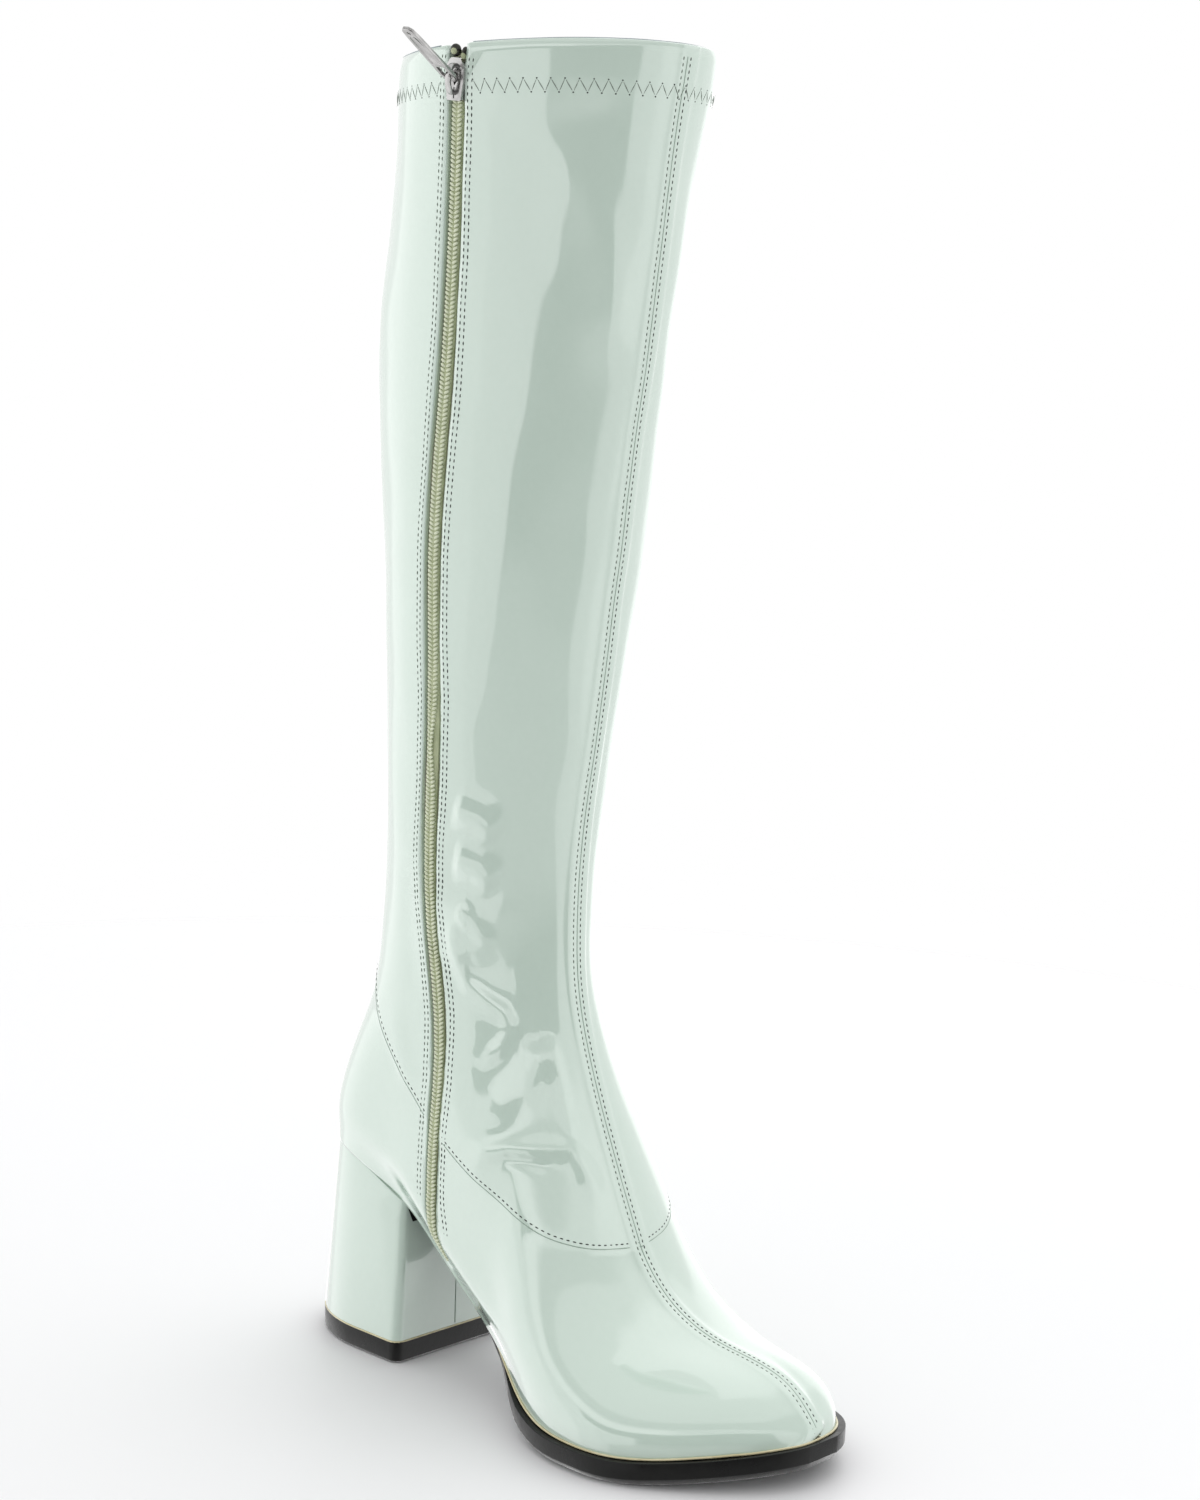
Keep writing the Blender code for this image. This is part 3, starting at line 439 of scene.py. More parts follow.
SOCK = Finish(
    "cream-sock", colour_of(214, 206, 188), colour_of(176, 168, 150), roughness=0.55,
    grain_coarse=700.0, grain_fine=2600.0, grain_balance=0.7, bump_height=0.0003, bump_strength=0.5,
)
RUBBER = Finish(
    "black-sole", colour_of(15, 15, 15), colour_of(26, 27, 25), drift_scale=60.0, drift_amount=0.6,
    roughness=0.34, roughness_spread=0.16, coat=0.08, coat_roughness=0.14, specular=0.22,
    grain_coarse=420.0, grain_fine=1700.0, grain_balance=0.5, bump_height=0.0003,
    bump_strength=0.25,
)
GLUE = Finish(
    "cream-edge", colour_of(222, 214, 176), colour_of(190, 178, 130), drift_scale=70.0,
    drift_amount=0.7, roughness=0.35, coat=0.5, coat_roughness=0.1, grain_coarse=600.0,
    bump_height=0.0002, bump_strength=0.3,
)
TAPE = Finish(
    "olive-tape", colour_of(220, 222, 192), colour_of(172, 176, 136), drift_scale=40.0,
    drift_amount=0.25, roughness=0.78, sheen=0.3, grain_coarse=900.0, grain_fine=3000.0,
    grain_balance=0.6, bump_height=0.0003, bump_strength=0.6, threads=1500.0,
)
COIL = Finish(
    "cream-coil", colour_of(220, 226, 200), colour_of(198, 205, 172), drift_scale=120.0,
    drift_amount=0.4, roughness=0.40, grain_coarse=1200.0, grain_fine=4000.0, bump_height=0.0001,
    bump_strength=0.3,
)
STEEL = Finish(
    "silver-metal", colour_of(184, 183, 182), colour_of(150, 149, 148), drift_scale=220.0,
    drift_amount=0.5, roughness=0.20, roughness_spread=0.14, metallic=1.0, grain_coarse=500.0,
    grain_fine=2600.0, grain_balance=0.8, bump_height=0.00006, bump_strength=0.35,
)
# Dark metal for the stops, and for the painted shade in the slider's opening and groove.
DARK_METAL_AND_PAINTED_SHADE = Finish(
    "dark-stop-and-painted-shade", colour_of(70, 70, 66), colour_of(34, 34, 30), drift_scale=300.0, roughness=0.30,
    metallic=1.0, grain_coarse=900.0, bump_height=0.00006, bump_strength=0.3,
)
THREAD_DARK = Finish(
    "grey-green-thread", colour_of(52, 62, 54), colour_of(30, 38, 32), drift_scale=600.0,
    drift_amount=0.8, roughness=0.60, sheen=0.2, grain_coarse=2500.0, grain_fine=6000.0,
    bump_height=0.0001, bump_strength=0.6,
)
THREAD_PALE = replace(
    THREAD_DARK, name="pale-thread", colour=colour_of(112, 124, 112), shade=colour_of(80, 92, 80)
)
# A darker mint for the lines along seams and cut edges: painted shade.
SEAM_SHADE = Finish(
    "seam-shade", colour_of(150, 170, 156), colour_of(124, 146, 130), drift_scale=300.0,
    drift_amount=0.8, roughness=0.40, grain_coarse=900.0, bump_height=0.0001, bump_strength=0.4,
)
EDGE_PAINT = Finish(
    "collar-edge-paint", colour_of(138, 154, 158), colour_of(112, 128, 134), drift_scale=60.0,
    drift_amount=0.6, roughness=0.35, coat=0.4, grain_coarse=900.0, bump_height=0.0001,
    bump_strength=0.3,
)
COIL_BED = Finish(
    "olive-bed", colour_of(186, 193, 158), colour_of(150, 160, 122), drift_scale=200.0,
    drift_amount=0.6, roughness=0.70, grain_coarse=1400.0, grain_fine=4200.0, bump_height=0.0002,
    bump_strength=0.6,
)


class Wardrobe:
    """Every finish as a material, made once and given out by name."""

    def __init__(self) -> None:
        """Builds the shared groups; the materials follow as they are asked for."""
        self.effects = Effects()
        self.made: dict[str, bpy.types.Material] = {}

    def material(self, finish: Finish) -> bpy.types.Material:
        """The material of a finish.

        Args:
            finish: the finish.

        Returns:
            Its material.
        """
        if finish.name not in self.made:
            self.made[finish.name] = finish.build(self.effects)
        return self.made[finish.name]

    def dress(self, piece: bpy.types.Object, finish: Finish) -> None:
        """Gives a piece one finish all over."""
        piece.data.materials.clear()
        piece.data.materials.append(self.material(finish))

    def hand_in(
        self, piece: bpy.types.Object, finish: Finish, slot: Slot, body: Body = Body.BOOT
    ) -> None:
        """Dresses a finished piece and rides it on its body.

        Args:
            piece: the finished piece.
            finish: what it is dressed in.
            slot: the record's slot; not used.
            body: the body that carries it.
        """
        self.dress(piece, finish)
        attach(piece, body.value)
        LOG.info("%s: %d faces", piece.name, len(piece.data.polygons))


# Bench tools


def take(piece: bpy.types.Object) -> None:
    """Deselects everything and makes one object the selected and active one."""
    bpy.ops.object.select_all(action="DESELECT")
    piece.select_set(True)
    bpy.context.view_layer.objects.active = piece


def new_object(name: str, mesh: bpy.types.Mesh) -> bpy.types.Object:
    """Links a mesh as an object at the origin."""
    piece = bpy.data.objects.new(name, mesh)
    bpy.context.scene.collection.objects.link(piece)
    return piece


def finish_modifiers(piece: bpy.types.Object) -> None:
    """Applies every modifier of a piece."""
    take(piece)
    for modifier in list(piece.modifiers):
        bpy.ops.object.modifier_apply(modifier=modifier.name)


def shape_of(mesh: bpy.types.Mesh) -> bmesh.types.BMesh:
    """A mesh as a shape that can be edited."""
    shape = bmesh.new()
    shape.from_mesh(mesh)
    return shape


def write_back(shape: bmesh.types.BMesh, mesh: bpy.types.Mesh) -> None:
    """Puts an edited shape back into its mesh."""
    shape.to_mesh(mesh)
    shape.free()


def face_outwards(piece: bpy.types.Object) -> None:
    """Turns every face of a closed piece outwards."""
    take(piece)
    bpy.ops.object.mode_set(mode="EDIT")
    bpy.ops.mesh.select_all(action="SELECT")
    bpy.ops.mesh.normals_make_consistent(inside=False)
    bpy.ops.object.mode_set(mode="OBJECT")


def settle(piece: bpy.types.Object) -> None:
    """Moves a piece's place, turn and size into its mesh."""
    take(piece)
    bpy.ops.object.transform_apply(location=True, rotation=True, scale=True)


def smooth_by_angle(piece: bpy.types.Object, degrees: float) -> None:
    """Shades a piece smooth, with edges sharper than an angle kept."""
    take(piece)
    bpy.ops.object.shade_smooth_by_angle(angle=math.radians(degrees))


def pair_triangles(shape: bmesh.types.BMesh, most_turn: float) -> list[bmesh.types.BMEdge]:
    """Chooses the diagonals that turn a triangulated grid back into quads.

    Args:
        shape: the mesh.
        most_turn: the widest angle between two faces that may join, in radians.

    Returns:
        The edges to dissolve.
    """
    links: dict[int, list[tuple[int, bmesh.types.BMEdge]]] = {}
    costs = []
    for edge in shape.edges:
        if len(edge.link_faces) != 2:
            continue
        one, two = edge.link_faces
        turn = edge.calc_face_angle(0.0)
        if len(one.verts) != 3 or len(two.verts) != 3 or turn > most_turn:
            continue
        ends = [edge.verts[0].co, edge.verts[1].co]
        tips = [next(v.co for v in f.verts if v not in edge.verts) for f in (one, two)]
        loop = [ends[0], tips[0], ends[1], tips[1]]
        worst = 0.0
        for i in range(4):
            arm_a = loop[i - 1] - loop[i]
            arm_b = loop[(i + 1) % 4] - loop[i]
            worst = max(worst, abs(arm_a.angle(arm_b, 0.0) - 0.5 * math.pi))
        costs.append((worst + turn, edge.index, one.index, two.index, edge))
        links.setdefault(one.index, []).append((two.index, edge))
        links.setdefault(two.index, []).append((one.index, edge))
    partner: dict[int, tuple[int, bmesh.types.BMEdge]] = {}
    for _, _, one, two, edge in sorted(costs, key=lambda row: row[:2]):
        if one not in partner and two not in partner:
            partner[one] = (two, edge)
            partner[two] = (one, edge)
    for start in [index for index in links if index not in partner]:
        if start in partner:
            continue
        came: dict[int, tuple[int, int, bmesh.types.BMEdge]] = {}
        queue, seen, found = [start], {start}, None
        while queue and found is None:
            here = queue.pop(0)
            for near, edge in links[here]:
                if near in seen or near == partner.get(here, (None,))[0]:
                    continue
                seen.add(near)
                if near not in partner:
                    found = (here, near, edge)
                    break
                beyond = partner[near][0]
                if beyond not in seen:
                    seen.add(beyond)
                    came[beyond] = (here, near, edge)
                    queue.append(beyond)
        while found is not None:
            here, near, edge = found
            partner[here] = (near, edge)
            partner[near] = (here, edge)
            found = came.get(here)
    return list({edge for _, edge in partner.values()})


def copy_of_node(node: bpy.types.Object, name: str) -> bpy.types.Object:
    """A CAD node's copy with its points merged and its triangles paired into quads.

    Args:
        node: the CAD node's object.
        name: the new piece's name.

    Returns:
        The copy, at the origin and with no material.
    """
    mesh = node.data.copy()
    mesh.name = name
    mesh.materials.clear()
    piece = new_object(name, mesh)
    take(piece)
    bpy.ops.object.mode_set(mode="EDIT")
    bpy.ops.mesh.customdata_custom_splitnormals_clear()
    bpy.ops.mesh.select_all(action="SELECT")
    bpy.ops.mesh.remove_doubles(threshold=MERGE_DISTANCE)
    bpy.ops.object.mode_set(mode="OBJECT")
    shape = shape_of(mesh)
    chosen = pair_triangles(shape, math.radians(WIDEST_PAIR_DEG))
    bmesh.ops.dissolve_edges(shape, edges=chosen, use_verts=False)
    write_back(shape, mesh)
    return piece


def subdivide(piece: bpy.types.Object, levels: int) -> None:
    """Applies a Subdivision Surface modifier."""
    modifier = piece.modifiers.new("smooth", "SUBSURF")
    modifier.levels = levels
    modifier.render_levels = levels
    finish_modifiers(piece)


def positions(mesh: bpy.types.Mesh) -> np.ndarray:
    """A mesh's points as an array."""
    flat = np.zeros(len(mesh.vertices) * 3)
    mesh.vertices.foreach_get("co", flat)
    return flat.reshape(-1, 3)


def point_normals(mesh: bpy.types.Mesh) -> np.ndarray:
    """A mesh's point normals as an array."""
    flat = np.zeros(len(mesh.vertices) * 3)
    mesh.vertices.foreach_get("normal", flat)
    return flat.reshape(-1, 3)


def place_points(mesh: bpy.types.Mesh, points: np.ndarray) -> None:
    """Sets a mesh's points from an array."""
    mesh.vertices.foreach_set("co", points.astype(np.float32).ravel())
    mesh.update()


def refine_rows(piece: bpy.types.Object, low: float, high: float, cuts: int) -> None:
    """Adds rows of points across the upright edges between two heights, along smooth curves.

    Args:
        piece: a piece of nearly all quads.
        low: the lowest height.
        high: the highest height.
        cuts: how many rows go into each edge.
    """
    shape = shape_of(piece.data)
    inside = set()
    for edge in shape.edges:
        one, two = edge.verts
        middle = (one.co.z + two.co.z) / 2
        ahead = two.co - one.co
        upright = abs(ahead.z) > UPRIGHT_SHARE * ahead.length and ahead.length > SHORTEST_UPRIGHT
        if low < middle < high and upright:
            inside.add(edge)
    handles = {}
    for edge in inside:
        ends = []
        for vertex, other in ((edge.verts[0], edge.verts[1]), (edge.verts[1], edge.verts[0])):
            faces = set(edge.link_faces)
            beyond = [e for e in vertex.link_edges if e != edge and not faces & set(e.link_faces)]
            straight = (other.co - vertex.co).normalized()
            best = None
            for near in beyond:
                way = (vertex.co - near.other_vert(vertex).co).normalized()
                if len(beyond) == 1 and way.dot(straight) > STRAIGHT_ON:
                    best = near.other_vert(vertex).co.copy()
            ends.append(best if best is not None else 2 * vertex.co - other.co)
        handles[edge] = (ends[0], edge.verts[0].co.copy(), edge.verts[1].co.copy(), ends[1])
    spans = list(handles.values())
    edges = list(inside)
    result = bmesh.ops.subdivide_edges(shape, edges=edges, cuts=cuts, use_grid_fill=True)
    added = [item for item in result["geom_inner"] if isinstance(item, bmesh.types.BMVert)]
    lookup = {}
    for before, start, end, after in spans:
        for i in range(1, cuts + 1):
            share = i / (cuts + 1)
            flat = start.lerp(end, share)
            bend = 0.5 * (
                2 * start
                + (end - before) * share
                + (2 * before - 5 * start + 4 * end - after) * share**2
                + (3 * start - before - 3 * end + after) * share**3
            )
            lookup[tuple(round(c, 7) for c in flat)] = bend
    moved = 0
    for vertex in added:
        bend = lookup.get(tuple(round(c, 7) for c in vertex.co))
        if bend is not None and (bend - vertex.co).length < FURTHEST_BEND:
            vertex.co = bend
            moved += 1
    LOG.info("%s: %d rows' points added, %d of them curved", piece.name, len(added), moved)
    write_back(shape, piece.data)


@dataclass(frozen=True)
class Spot:
    """A point on a surface, with the surface's outward normal there."""

    place: Vector
    normal: Vector


class Surface:
    """A finished mesh that lines are laid on."""

    def __init__(self, piece: bpy.types.Object) -> None:
        """Builds the search tree of a piece's mesh."""
        shape = shape_of(piece.data)
        self.tree = BVHTree.FromBMesh(shape)
        shape.free()

    def cast(self, start: Vector, direction: Vector, reach: float = 1.0) -> Spot | None:
        """The first place a ray meets, or None.

        Args:
            start: where the ray starts.
            direction: the way it goes.
            reach: how far it goes.

        Returns:
            The place and normal, or None.
        """
        place, normal, index, _ = self.tree.ray_cast(start, direction.normalized(), reach)
        if index is None:
            return None
        return Spot(place, normal)

    def near(self, point: Vector) -> Spot:
        """The nearest place to a point."""
        place, normal, _, _ = self.tree.find_nearest(point)
        return Spot(place, normal)


def resampled(line: list[Spot], pitch: float) -> list[Spot]:
    """Spots an even distance apart along a line.

    Args:
        line: the line's spots in order.
        pitch: the distance.

    Returns:
        The new spots.
    """
    points = np.array([spot.place for spot in line])
    normals = np.array([spot.normal for spot in line])
    walked = np.concatenate([[0.0], np.cumsum(np.linalg.norm(np.diff(points, axis=0), axis=1))])
    count = max(2, int(round(walked[-1] / pitch)) + 1)
    at = np.linspace(0.0, walked[-1], count)
    out = [np.interp(at, walked, points[:, i]) for i in range(3)]
    ways = [np.interp(at, walked, normals[:, i]) for i in range(3)]
    return [
        Spot(Vector(place), Vector(way).normalized())
        for place, way in zip(np.stack(out, axis=1), np.stack(ways, axis=1))
    ]


def evened(values: list[Vector]) -> list[Vector]:
    """Each value averaged with its neighbours, ends held."""
    middle = [(a + 2 * b + c) / 4 for a, b, c in zip(values[:-2], values[1:-1], values[2:])]
    return [values[0]] + middle + [values[-1]]


def smoothed(line: list[Spot], rounds: int) -> list[Spot]:
    """A line with its small wobbles evened out, ends held."""
    places = [spot.place.copy() for spot in line]
    ways = [spot.normal.copy() for spot in line]
    for _ in range(rounds):
        places = evened(places)
        ways = [way.normalized() for way in evened(ways)]
    return [Spot(place, way) for place, way in zip(places, ways)]


def shifted(line: list[Spot], sideways: float, surface: Surface, lift: float = 2.0 * MM) -> list[Spot]:
    """A line moved sideways over the surface, to the left of its direction seen from outside.

    Args:
        line: the line's spots in order.
        sideways: the distance, negative for the right.
        surface: what it lies on.
        lift: how far out the search for the surface starts.

    Returns:
        The moved line.
    """
    moved = []
    for i, spot in enumerate(line):
        ahead = line[min(i + 1, len(line) - 1)].place - line[max(i - 1, 0)].place
        side = spot.normal.cross(ahead).normalized()
        start = spot.place + side * sideways
        hit = surface.cast(start + spot.normal * lift, -spot.normal, 3.0 * lift)
        same_skin = hit is not None and hit.normal.dot(spot.normal) > SAME_SKIN
        moved.append(hit if same_skin else surface.near(start))
    return moved


def turned_to(first: Vector, second: Vector, third: Vector, origin: Vector) -> Matrix:
    """A matrix from three directions and a place."""
    turn = Matrix((first, second, third)).transposed().to_4x4()
    turn.translation = origin
    return turn


def frame_at(spot: Spot, along: Vector) -> Matrix:
    """A turn and place with X along a direction and Z along the spot's normal."""
    up = spot.normal.normalized()
    across = up.cross(along).normalized()
    return turned_to(across.cross(up).normalized(), across, up, spot.place)


def joined_copies(name: str, pattern: bpy.types.Mesh, frames: list[Matrix]) -> bpy.types.Object:
    """One object of many copies of a small mesh.

    Args:
        name: the object's name.
        pattern: the mesh that repeats.
        frames: each copy's place.

    Returns:
        The object.
    """
    base = positions(pattern)
    faces = [tuple(face.vertices) for face in pattern.polygons]
    points, polygons = [], []
    for matrix in frames:
        turn = np.array(matrix.to_3x3())
        start = len(points) * len(base)
        points.append(base @ turn.T + np.array(matrix.translation))
        polygons += [tuple(start + index for index in face) for face in faces]
    mesh = bpy.data.meshes.new(name)
    mesh.from_pydata(np.concatenate(points).tolist(), [], polygons)
    mesh.shade_smooth()
    return new_object(name, mesh)


def tube_along(
    name: str, line: list[Spot], radius: float, sides: int, closed: bool, sink: float
) -> bpy.types.Object:
    """A round bead along a line of spots.

    Args:
        name: the object's name.
        line: the spots.
        radius: the bead's radius.
        sides: its number of sides.
        closed: True if the line joins its own start.
        sink: how far its middle lies under the surface.

    Returns:
        The bead.
    """
    count = len(line)
    points = []
    for i, spot in enumerate(line):
        after = line[(i + 1) % count] if closed else line[min(i + 1, count - 1)]
        before = line[i - 1] if closed else line[max(i - 1, 0)]
        matrix = frame_at(spot, after.place - before.place)
        across, up = matrix.col[1].xyz, matrix.col[2].xyz
        for k in range(sides):
            turn = math.tau * k / sides
            points.append(
                spot.place - up * sink + across * math.cos(turn) * radius + up * math.sin(turn) * radius
            )
    faces = []
    for i in range(count if closed else count - 1):
        for k in range(sides):
            a, b = i * sides + k, i * sides + (k + 1) % sides
            c, d = ((i + 1) % count) * sides + (k + 1) % sides, ((i + 1) % count) * sides + k
            faces.append((a, b, c, d))
    if not closed:
        faces.append(tuple(reversed(range(sides))))
        faces.append(tuple(range((count - 1) * sides, count * sides)))
    mesh = bpy.data.meshes.new(name)
    mesh.from_pydata(points, [], faces)
    mesh.shade_smooth()
    piece = new_object(name, mesh)
    face_outwards(piece)
    return piece


def lay_uv(piece: bpy.types.Object, along: Vector, across: Vector) -> None:
    """Gives a piece a UV map in metres along two directions."""
    layer = piece.data.uv_layers.get("UVMap") or piece.data.uv_layers.new(name="UVMap")
    points = positions(piece.data)
    for loop in piece.data.loops:
        point = Vector(points[loop.vertex_index])
        layer.data[loop.index].uv = (point.dot(along), point.dot(across))


# Upper


@dataclass(frozen=True)
class Fold:
    """One ridge or trough of the leather, laid along points on the upper.

    A positive height stands out, a negative one sinks. Width is from the middle to where it
    has mostly faded.
    """

    points: tuple[tuple[float, float, float], ...]
    width: float
    height: float
    start_fade: float = 0.25
    end_fade: float = 0.25

    def field(self, points: np.ndarray) -> np.ndarray:
        """How far this fold moves each point outwards.

        Args:
            points: the points, one a row.

        Returns:
            The distances.
        """
        line = np.array(self.points)
        lengths = np.linalg.norm(np.diff(line, axis=0), axis=1)
        walked = np.concatenate([[0.0], np.cumsum(lengths)])
        best = np.full(len(points), 1e9)
        place = np.zeros(len(points))
        for i, (start, end) in enumerate(zip(line[:-1], line[1:])):
            ahead = end - start
            share = np.clip((points - start) @ ahead / (ahead @ ahead), 0.0, 1.0)
            away = np.linalg.norm(points - start - share[:, None] * ahead, axis=1)
            nearer = away < best
            best = np.where(nearer, away, best)
            place = np.where(nearer, (walked[i] + share * lengths[i]) / walked[-1], place)
        fade_in = np.clip(place / max(self.start_fade, 1e-6), 0.0, 1.0)
        fade_out = np.clip((1.0 - place) / max(self.end_fade, 1e-6), 0.0, 1.0)
        fade = fade_in * fade_in * (3 - 2 * fade_in) * fade_out * fade_out * (3 - 2 * fade_out)
        return self.height * np.exp(-((best / self.width) ** 2)) * fade


def folds_of(rows: tuple) -> tuple[Fold, ...]:
    """The folds of a table that is given in millimetres."""
    folds = []
    for width, height, start, end, *places in rows:
        points = tuple(tuple(measure * MM for measure in place) for place in places)
        folds.append(Fold(points, width * MM, height * MM, start, end))
    return tuple(folds)


# Each row, in millimetres: width, height, the shares of its length that fade in and out, places.
FOLD_ROWS = (
    # Two thick lobes and a narrow slanting one, from the zip towards the front of the ankle.
    (5.2, 2.1, 0.2, 0.25, (57.3, -32.1, 212.8), (67.2, -29.9, 209.6), (75.0, -24.7, 204.6)),
    (5.6, 2.2, 0.2, 0.25, (55.8, -30.2, 194.4), (65.6, -28.7, 192.1), (73.4, -23.9, 185.7)),
    (2.8, 1.4, 0.15, 0.3, (56.7, -27.6, 176.3), (64.6, -26.6, 170.6), (71.2, -23.0, 163.4)),
    # The broad swell that they stand on.
    (11.0, 1.5, 0.3, 0.3, (61.5, -29.0, 184.0), (60.2, -28.0, 169.0), (61.8, -27.2, 153.0)),
    # The thin ridge beside the zip, which hooks forward and back below them.
    (
        3.0, 1.3, 0.1, 0.18, (55.3, -27.6, 173.4), (55.5, -28.0, 164.5), (57.8, -27.9, 155.9),
        (62.0, -27.3, 149.3), (69.1, -25.1, 144.9), (75.9, -22.7, 141.2), (79.1, -22.2, 136.3),
        (77.1, -24.9, 129.1), (69.2, -28.8, 120.6),
    ),
    # The peak at the front of the ankle: a wide arm and a thin one.
    (
        6.4, 0.95, 0.18, 0.3, (88.5, -13.9, 132.5), (88.5, -18.7, 125.7), (85.5, -24.1, 116.5),
        (80.0, -28.3, 107.9), (73.0, -31.1, 102.4),
    ),
    (
        2.8, 1.1, 0.15, 0.2, (87.9, -13.6, 134.9), (92.0, -13.5, 127.4), (96.3, -13.4, 116.1),
        (100.7, -13.9, 106.3), (104.5, -14.9, 97.7),
    ),
    # Across the vamp above its seam, with a thin hollow under it.
    (
        3.6, 1.2, 0.15, 0.25, (70.3, -33.6, 90.2), (85.0, -31.3, 95.3), (97.7, -24.4, 98.0),
        (104.7, -15.1, 97.0), (110.9, -11.6, 86.7), (115.2, -10.5, 76.0),
    ),
    (1.9, -0.9, 0.25, 0.25, (84.3, -31.6, 92.7), (93.8, -27.6, 92.3), (102.8, -22.3, 90.5)),
    # Slack in the top of the shaft, beside the front seam and under the hem.
    (
        7.0, 1.1, 0.25, 0.25, (102.8, -33.6, 448.4), (106.3, -27.1, 429.7), (110.1, -18.8, 407.7),
        (109.9, -14.9, 388.4), (106.2, -14.7, 362.0),
    ),
    (8.0, -0.8, 0.25, 0.25, (96.6, -36.4, 442.1), (91.6, -35.0, 413.5), (94.9, -30.3, 387.7)),
    (
        5.0, -0.6, 0.25, 0.25, (74.9, -45.3, 450.3), (90.4, -39.4, 440.5), (107.4, -28.8, 442.9),
        (118.4, -17.1, 450.8),
    ),
    (6.0, 0.7, 0.25, 0.25, (112.8, -3.0, 379.0), (108.8, -4.3, 349.0), (103.8, -6.3, 315.1)),
    # Behind the zip.
    (6.0, -0.8, 0.25, 0.25, (33.7, -30.2, 193.9), (31.0, -27.9, 164.0), (36.6, -29.2, 135.8)),
    (5.5, 0.7, 0.25, 0.25, (23.7, -28.2, 140.0), (30.6, -30.1, 120.0), (40.0, -31.0, 105.0)),
    # The far side's own breaks.
    (5.2, 1.1, 0.25, 0.25, (54.0, 30.0, 210.0), (64.0, 28.0, 201.0), (76.0, 21.0, 190.0)),
    (4.2, -0.8, 0.25, 0.25, (52.0, 29.0, 198.0), (63.0, 27.0, 189.0), (75.0, 21.0, 177.0)),
    (5.0, 1.2, 0.25, 0.25, (51.0, 28.0, 184.0), (62.0, 26.0, 174.0), (74.0, 20.0, 164.0)),
    (4.4, 1.0, 0.25, 0.25, (52.0, 28.0, 160.0), (64.0, 25.0, 150.0), (80.0, 19.0, 142.0)),
    (4.0, -0.9, 0.25, 0.25, (56.0, 29.0, 142.0), (68.0, 27.0, 133.0), (83.0, 20.0, 128.0)),
    (4.4, 1.0, 0.25, 0.25, (64.0, 31.0, 118.0), (78.0, 28.0, 120.0), (90.0, 19.0, 126.0)),
    (4.2, 0.9, 0.25, 0.25, (72.0, 33.0, 96.0), (86.0, 30.0, 98.0), (100.0, 20.0, 100.0)),
)


